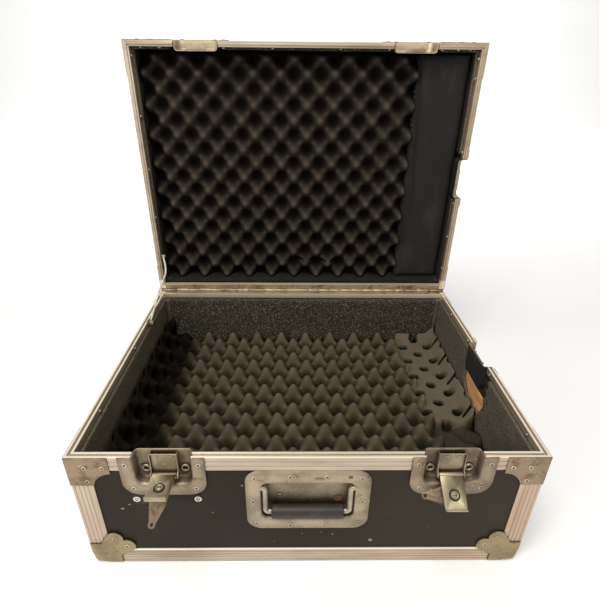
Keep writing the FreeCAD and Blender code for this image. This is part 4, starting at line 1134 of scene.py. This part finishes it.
# Black painted as shade in the eyelets' holes, the spindles' slots and the gaps round them.
painted_gap_shade = Finish("painted_gap_shade", (0.012, 0.009, 0.006), 0.7).done()
HOLE = turned_shape([(3.8, -0.3), (3.8, 0.9)])
EYELET = [(6.4, 0), (6.5, 1.2), (5.9, 2.6), (4.9, 3.0), (4.0, 2.4), (3.7, 0.6), (3.6, -0.6)]
EYELET = turned_shape(EYELET)
PIN = turned_shape([(1.9, -19.6), (1.9, 19.6)])
DIMPLE = turned_shape([(2.9, 0), (2.7, 0.35), (2.0, 0.75), (1.0, 0.9)])
DIMPLES = [(-9.5, -11), (9.5, -11), (0, -25)]
EYELET_OUT, EYELET_DOWN = 27, 34
for side, spot in latch_spots.items():
    for x in (-EYELET_OUT, EYELET_OUT):
        at = spot @ Matrix.Translation((x, TRAY_BACK, BASE_TOP - EYELET_DOWN)) @ FORWARD
        tag = x + EYELET_OUT
        piece(f"latch_{side}_eyelet_{tag}", *EYELET, "base", latch_metal, STEEL, at)
        # Painted shade in the eyelet's hole.
        piece(f"latch_{side}_hole_{tag}", *HOLE, "base", painted_gap_shade, STEEL, at)
    at = spot @ Matrix.Translation((0, PIN_Y, BASE_TOP + PIN_Z)) @ SIDEWAYS
    rod = piece(f"latch_{side}_pin", *PIN, "base", latch_metal, STEEL, at)
    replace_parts(rod, f"latch_{side}_bracket")
    for n, (x, z) in enumerate(DIMPLES):
        at = spot @ Matrix.Translation((x, TRAY_FACE, BASE_TOP + z)) @ FORWARD
        piece(f"latch_{side}_dimple_{n}", *DIMPLE, "base", dark_steel, STEEL, at)

# %% Spindle heads
HEAD_RING = [(5.2, 0.0), (5.3, 0.5), (4.9, 0.75), (4.3, 0.7), (4.1, 0.2), (3.2, 0.15)]
HEAD_RING = turned_shape(HEAD_RING + [(3.0, 0.55), (1.6, 0.75)], 28)
ARM_HOLE = turned_shape([(5.5, -1.2), (5.5, 0.45), (7.1, 0.45), (7.1, -1.2)], 28)
SLOT = box_points((-2.7, 2.7), (-0.55, 0.55), (0.3, 0.8))
for side in latch_spots:
    body = f"latch_{side}_spindle"
    twist = joints[f"latch_{side}_twist"]
    axis, centre = Vector(twist["axis"]), Vector(twist["pos_m"]) / MM
    spindle = frame["nodes"][body].data.vertices
    reach = max((Vector(v.co) / MM - centre).dot(axis) for v in spindle)
    at = facing(centre + axis * (reach - 0.1), axis)
    piece(f"latch_{side}_head_ring", *HEAD_RING, body, latch_metal, STEEL, at)
    # Painted shade in the gap round the spindle and in its slot.
    piece(f"latch_{side}_arm_hole", *ARM_HOLE, f"latch_{side}_arm", painted_gap_shade, STEEL, at)
    piece(f"latch_{side}_head_slot", *SLOT, body, painted_gap_shade, STEEL, at)
    print(side, "head at", [round(v, 1) for v in at.translation], "reach", round(reach, 2))


# %% [markdown]
# ## Carrying handle
#
# A steel bail hangs in the middle dish with a black rubber grip moulded round it. Its own shape
# is right, so only the edges are rounded and the surfaces change. The two coil springs are wound
# as real wire.

# %% Handle
bail_metal = tarnished("bail_zinc", (0.45, 0.40, 0.31), -0.05, 0.3)
rubber = Finish("grip_rubber", (0.030, 0.025, 0.018), 0.5, specular=0.35)
rubber.mottle((0.060, 0.050, 0.034), (0.52, 0.7, 0.6), 70, 4)
rubber.raise_by(rubber.speckle(800, 2), 0.0001)
worn("handle_bail", 0.3, bail_metal)
worn("handle_grip", 0.5, rubber.done(), 3)
SPRING_STEPS, STEPS_A_TURN, WIRE_SIDES = 64, 16, 8
SPRING_FROM, SPRING_LONG = 69.6, 4.8
SPRING_Y, SPRING_Z, COIL_RADIUS, WIRE_RADIUS = -241.5, 158, 2.95, 0.5
for side, sign in (("left", -1), ("right", 1)):
    points = []
    for n in range(SPRING_STEPS + 1):
        turn = 2 * math.pi * n / STEPS_A_TURN
        out = Vector((0, math.cos(turn), math.sin(turn)))
        spot = Vector((sign * (SPRING_FROM + SPRING_LONG * n / SPRING_STEPS), SPRING_Y, SPRING_Z))
        for k in range(WIRE_SIDES):
            around = 2 * math.pi * k / WIRE_SIDES
            wire = out * math.cos(around) + Vector((1, 0, 0)) * math.sin(around)
            points.append(spot + COIL_RADIUS * out + WIRE_RADIUS * wire)
    faces = grid_faces(SPRING_STEPS + 1, WIRE_SIDES, ring=True)
    coil = piece(f"handle_spring_{side}", points, faces, "base", bail_metal, "bail_steel")
    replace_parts(coil, "handle_springs")
print("springs span", *box_mm("handle_springs"))


# %% [markdown]
# ## Rivets and dents
#
# Every plate is held by pop rivets: a pale ring round a dark hole where the mandrel snapped.
# Each rivet in the frame is a separate island of one mesh, so the islands give all the places
# and the ways they face. The tails of those rivets show inside the rims as small discs. The
# handle's dish also has a few shallow dents, and a ring of rust where a washer once sat.

# %% Rivets
rust = Finish("bare_rust", (0.12, 0.045, 0.015), 0.85)
rust.mottle((0.30, 0.14, 0.045), (0.5, 0.65), 420, 3)
rust.raise_by(rust.speckle(600, 3), 0.0005)
rust = rust.done()
rivet_metal = tarnished("rivet_aluminium", (0.62, 0.55, 0.45), -0.03, 0.4, grime_and_shade_reach=0.0015)
mandrel = Finish("mandrel_hole", (0.03, 0.022, 0.015), 0.6, metallic=0.4).done()
HEAD = [(3.2, 0.0), (3.3, 0.4), (2.9, 0.85), (2.3, 1.05), (1.75, 1.0), (1.45, 0.6), (1.35, 0.1)]
HEAD_SIDES = 18


def islands(node):
    """The separate solids of a node's mesh, each as its list of points."""
    work = bmesh.new()
    work.from_mesh(frame["nodes"][node].data)
    work.transform(frame["nodes"][node].matrix_world)
    bmesh.ops.remove_doubles(work, verts=work.verts, dist=2e-6)
    left, found = set(work.verts), []
    while left:
        group, queue = [], [left.pop()]
        while queue:
            vert = queue.pop()
            group.append(vert.co / MM)
            for edge in vert.link_edges:
                other = edge.other_vert(vert)
                if other in left:
                    left.discard(other)
                    queue.append(other)
        found.append(group)
    work.free()
    return found


def rivet_place(group):
    """Where a rivet stands and the way its head points, from its wide foot and its narrow top."""
    low = Vector([min(p[k] for p in group) for k in range(3)])
    high = Vector([max(p[k] for p in group) for k in range(3)])
    middle = (low + high) / 2
    best = None
    for turn in (Matrix.Identity(3), lid_opened.to_3x3()):
        for k in range(3):
            for sign in (-1, 1):
                out = turn @ Vector([sign if n == k else 0 for n in range(3)])
                heights = [(p - middle).dot(out) for p in group]
                if max(heights) - min(heights) > 1.6:
                    continue
                top = [p for p, h in zip(group, heights) if h > max(heights) - 0.05]
                spread_out = max((p - middle - out * (p - middle).dot(out)).length for p in top)
                if best is None or spread_out < best[0]:
                    best = (spread_out, out, middle + out * min(heights))
    return best[2], best[1]

def repeated(shape, places):
    """One shape set down at many places, as a single mesh."""
    points, faces = shape
    return joined([([at @ Vector(p) for p in points], faces) for at in places])


def rivet_set(node, body):
    head = turned_shape(HEAD, HEAD_SIDES)
    places = [facing(*rivet_place(group)) for group in islands(node)]
    heads = piece(f"{node}_heads", *repeated(head, places), body, rivet_metal, "rivet")
    heads.data.materials.append(mandrel)
    outside = len(head[1]) - 2 - 2 * HEAD_SIDES
    marks = ([0] * outside + [1] * (2 * HEAD_SIDES + 1) + [0]) * len(places)
    heads.data.polygons.foreach_set("material_index", marks)
    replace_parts(heads, node)
    return len(places)


DENT = turned_shape([(3.4, 0), (3.0, 0.25), (2.2, 0.5), (1.0, 0.6)], 24)
RUST_RING = turned_shape([(6.6, 0.0), (6.4, 0.3), (5.0, 0.6), (3.8, 0.15), (1.5, 0.3)], 24)
FLANGE_FACE, POCKET_FACE = -246.6, -230.6
DENTS = [
    (-62, FLANGE_FACE, 183.0, handle_dish_metal),
    (0, FLANGE_FACE, 184.0, handle_dish_metal),
    (58, FLANGE_FACE, 183.5, rust),
    (-40, POCKET_FACE, 131.0, handle_dish_metal),
]
for n, (x, y, z, metal) in enumerate(DENTS):
    at = Matrix.Translation((x, y, z)) @ FORWARD
    piece(f"handle_dent_{n}", *DENT, "base", metal, STEEL, at)
at = Matrix.Translation((45, POCKET_FACE, 122.0)) @ FORWARD
piece("handle_rust_ring", *RUST_RING, "base", rust, STEEL, at)
print("rivets", rivet_set("base_rivets", "base"), "and", rivet_set("lid_rivets", "lid"))

# %% Rivet tails
TAIL = turned_shape([(2.4, 0), (2.5, 1.0), (2.1, 1.9), (1.2, 2.2), (0.8, 1.9)], 14)
FRONT_FACE, SIDE_FACE = -236.6, 314.6


def tail_spots(level, front, right, left):
    """Where tails stand on the insides of three rims, and the ways they point."""
    spots = [((x, FRONT_FACE, level), (0, 1, 0)) for x in front]
    spots += [((SIDE_FACE, y, level), (-1, 0, 0)) for y in right]
    return spots + [((-SIDE_FACE, y, level), (1, 0, 0)) for y in left]


def tails(body, spots, place):
    places = [place @ facing(*spot) for spot in spots]
    piece(f"{body}_rivet_tails", *repeated(TAIL, places), body, rivet_metal, "rivet")


lid_front = (-296, -262, -148, -60, 62, 150, 245, 274, 296)
lid_right, lid_left = (-222, -190, -58, 46, 120, 196), (-222, -120, -20, 80)
lid_tails = tail_spots(229.0, lid_front, lid_right, lid_left)
base_front = (-292, -146, 146, 250, 292)
base_tails = tail_spots(216.0, base_front, (-200, -60, 48, 150), (-150, 20, 128))
tails("lid", lid_tails, lid_opened)
tails("base", base_tails, as_is)
print("tails", len(lid_tails) + len(base_tails))


# %% [markdown]
# ## Hinge, stay anchors and name plate
#
# The piano hinge's leaves and rolled knuckles keep their shape, with worn edges and rust in the
# gaps between knuckles. They stop short of the case's corners, so a short steel rod and two thin
# strips carry the seam on to each side. The name plate carries nothing: it is a blank strip of
# dark laminate held by two rivets with pale rings round them.

# %% Hinge and anchors
hinge_metal = tarnished("hinge_steel", (0.50, 0.40, 0.26), 0.07, 0.4)
for node in ("hinge_base_leaf", "hinge_lid_leaf", "hinge_pin"):
    worn(node, 0.2, hinge_metal)
for node in ("lid_stay_anchor_base", "lid_stay_anchor_lid"):
    worn(node, 0.3, dark_steel)
leaf_high = box_mm("hinge_base_leaf")[1]
LEAF, LEAF_DEPTH, STRIP_END, ROD_END = 1.2, (237.2, 246.8), 314.0, 323.0
knuckle = leaf_high.y - hinge_place.y
for side, sign in (("left", -1), ("right", 1)):
    start = leaf_high.x + 0.2
    strip_x = sorted((sign * start, sign * STRIP_END))
    rod = turned_shape([(knuckle, x) for x in sorted((sign * start, sign * ROD_END))])
    at = Matrix.Translation((0, hinge_place.y, hinge_place.z)) @ SIDEWAYS
    piece(f"hinge_rod_end_{side}", *rod, "base", hinge_metal, "hinge_steel", at)
    for body, levels, place in (
        ("base", (BASE_TOP - LEAF, BASE_TOP - 0.6), as_is),
        ("lid", (LID_BASE, LID_BASE + LEAF), lid_opened),
    ):
        strip = box_points(strip_x, LEAF_DEPTH, levels)
        name = f"hinge_{body}_end_{side}"
        soften(piece(name, *strip, body, hinge_metal, "hinge_steel", place), 0.3)

# %% Name plate
plate_finish = Finish("blank_plate", (0.014, 0.0105, 0.0065), 0.4, specular=0.14)
plate_finish.mottle((0.05, 0.042, 0.032), (0.6, 0.7, 0.3), 120, 3, (0.2, 1, 1))
worn("name_plate", 0.3, plate_finish.done())
plate_low, plate_high = box_mm("name_plate")
ring_white = Finish("plate_rings", (0.78, 0.74, 0.66), 0.6)
ring_white.mottle((0.35, 0.32, 0.26), (0.5, 0.7, 0.6), 300, 2)
ring_white = ring_white.done()
RING = turned_shape([(5.0, 0.0), (5.1, 0.2), (4.9, 0.3), (3.6, 0.3), (3.5, 0.05)], 28)
for n, x in enumerate((-240.5, -154.5)):
    at = Matrix.Translation((x, plate_low.y, 140.5)) @ FORWARD
    piece(f"plate_ring_{n}", *RING, "base", ring_white, "blank_plate", at)
print("plate spans", plate_low, plate_high)
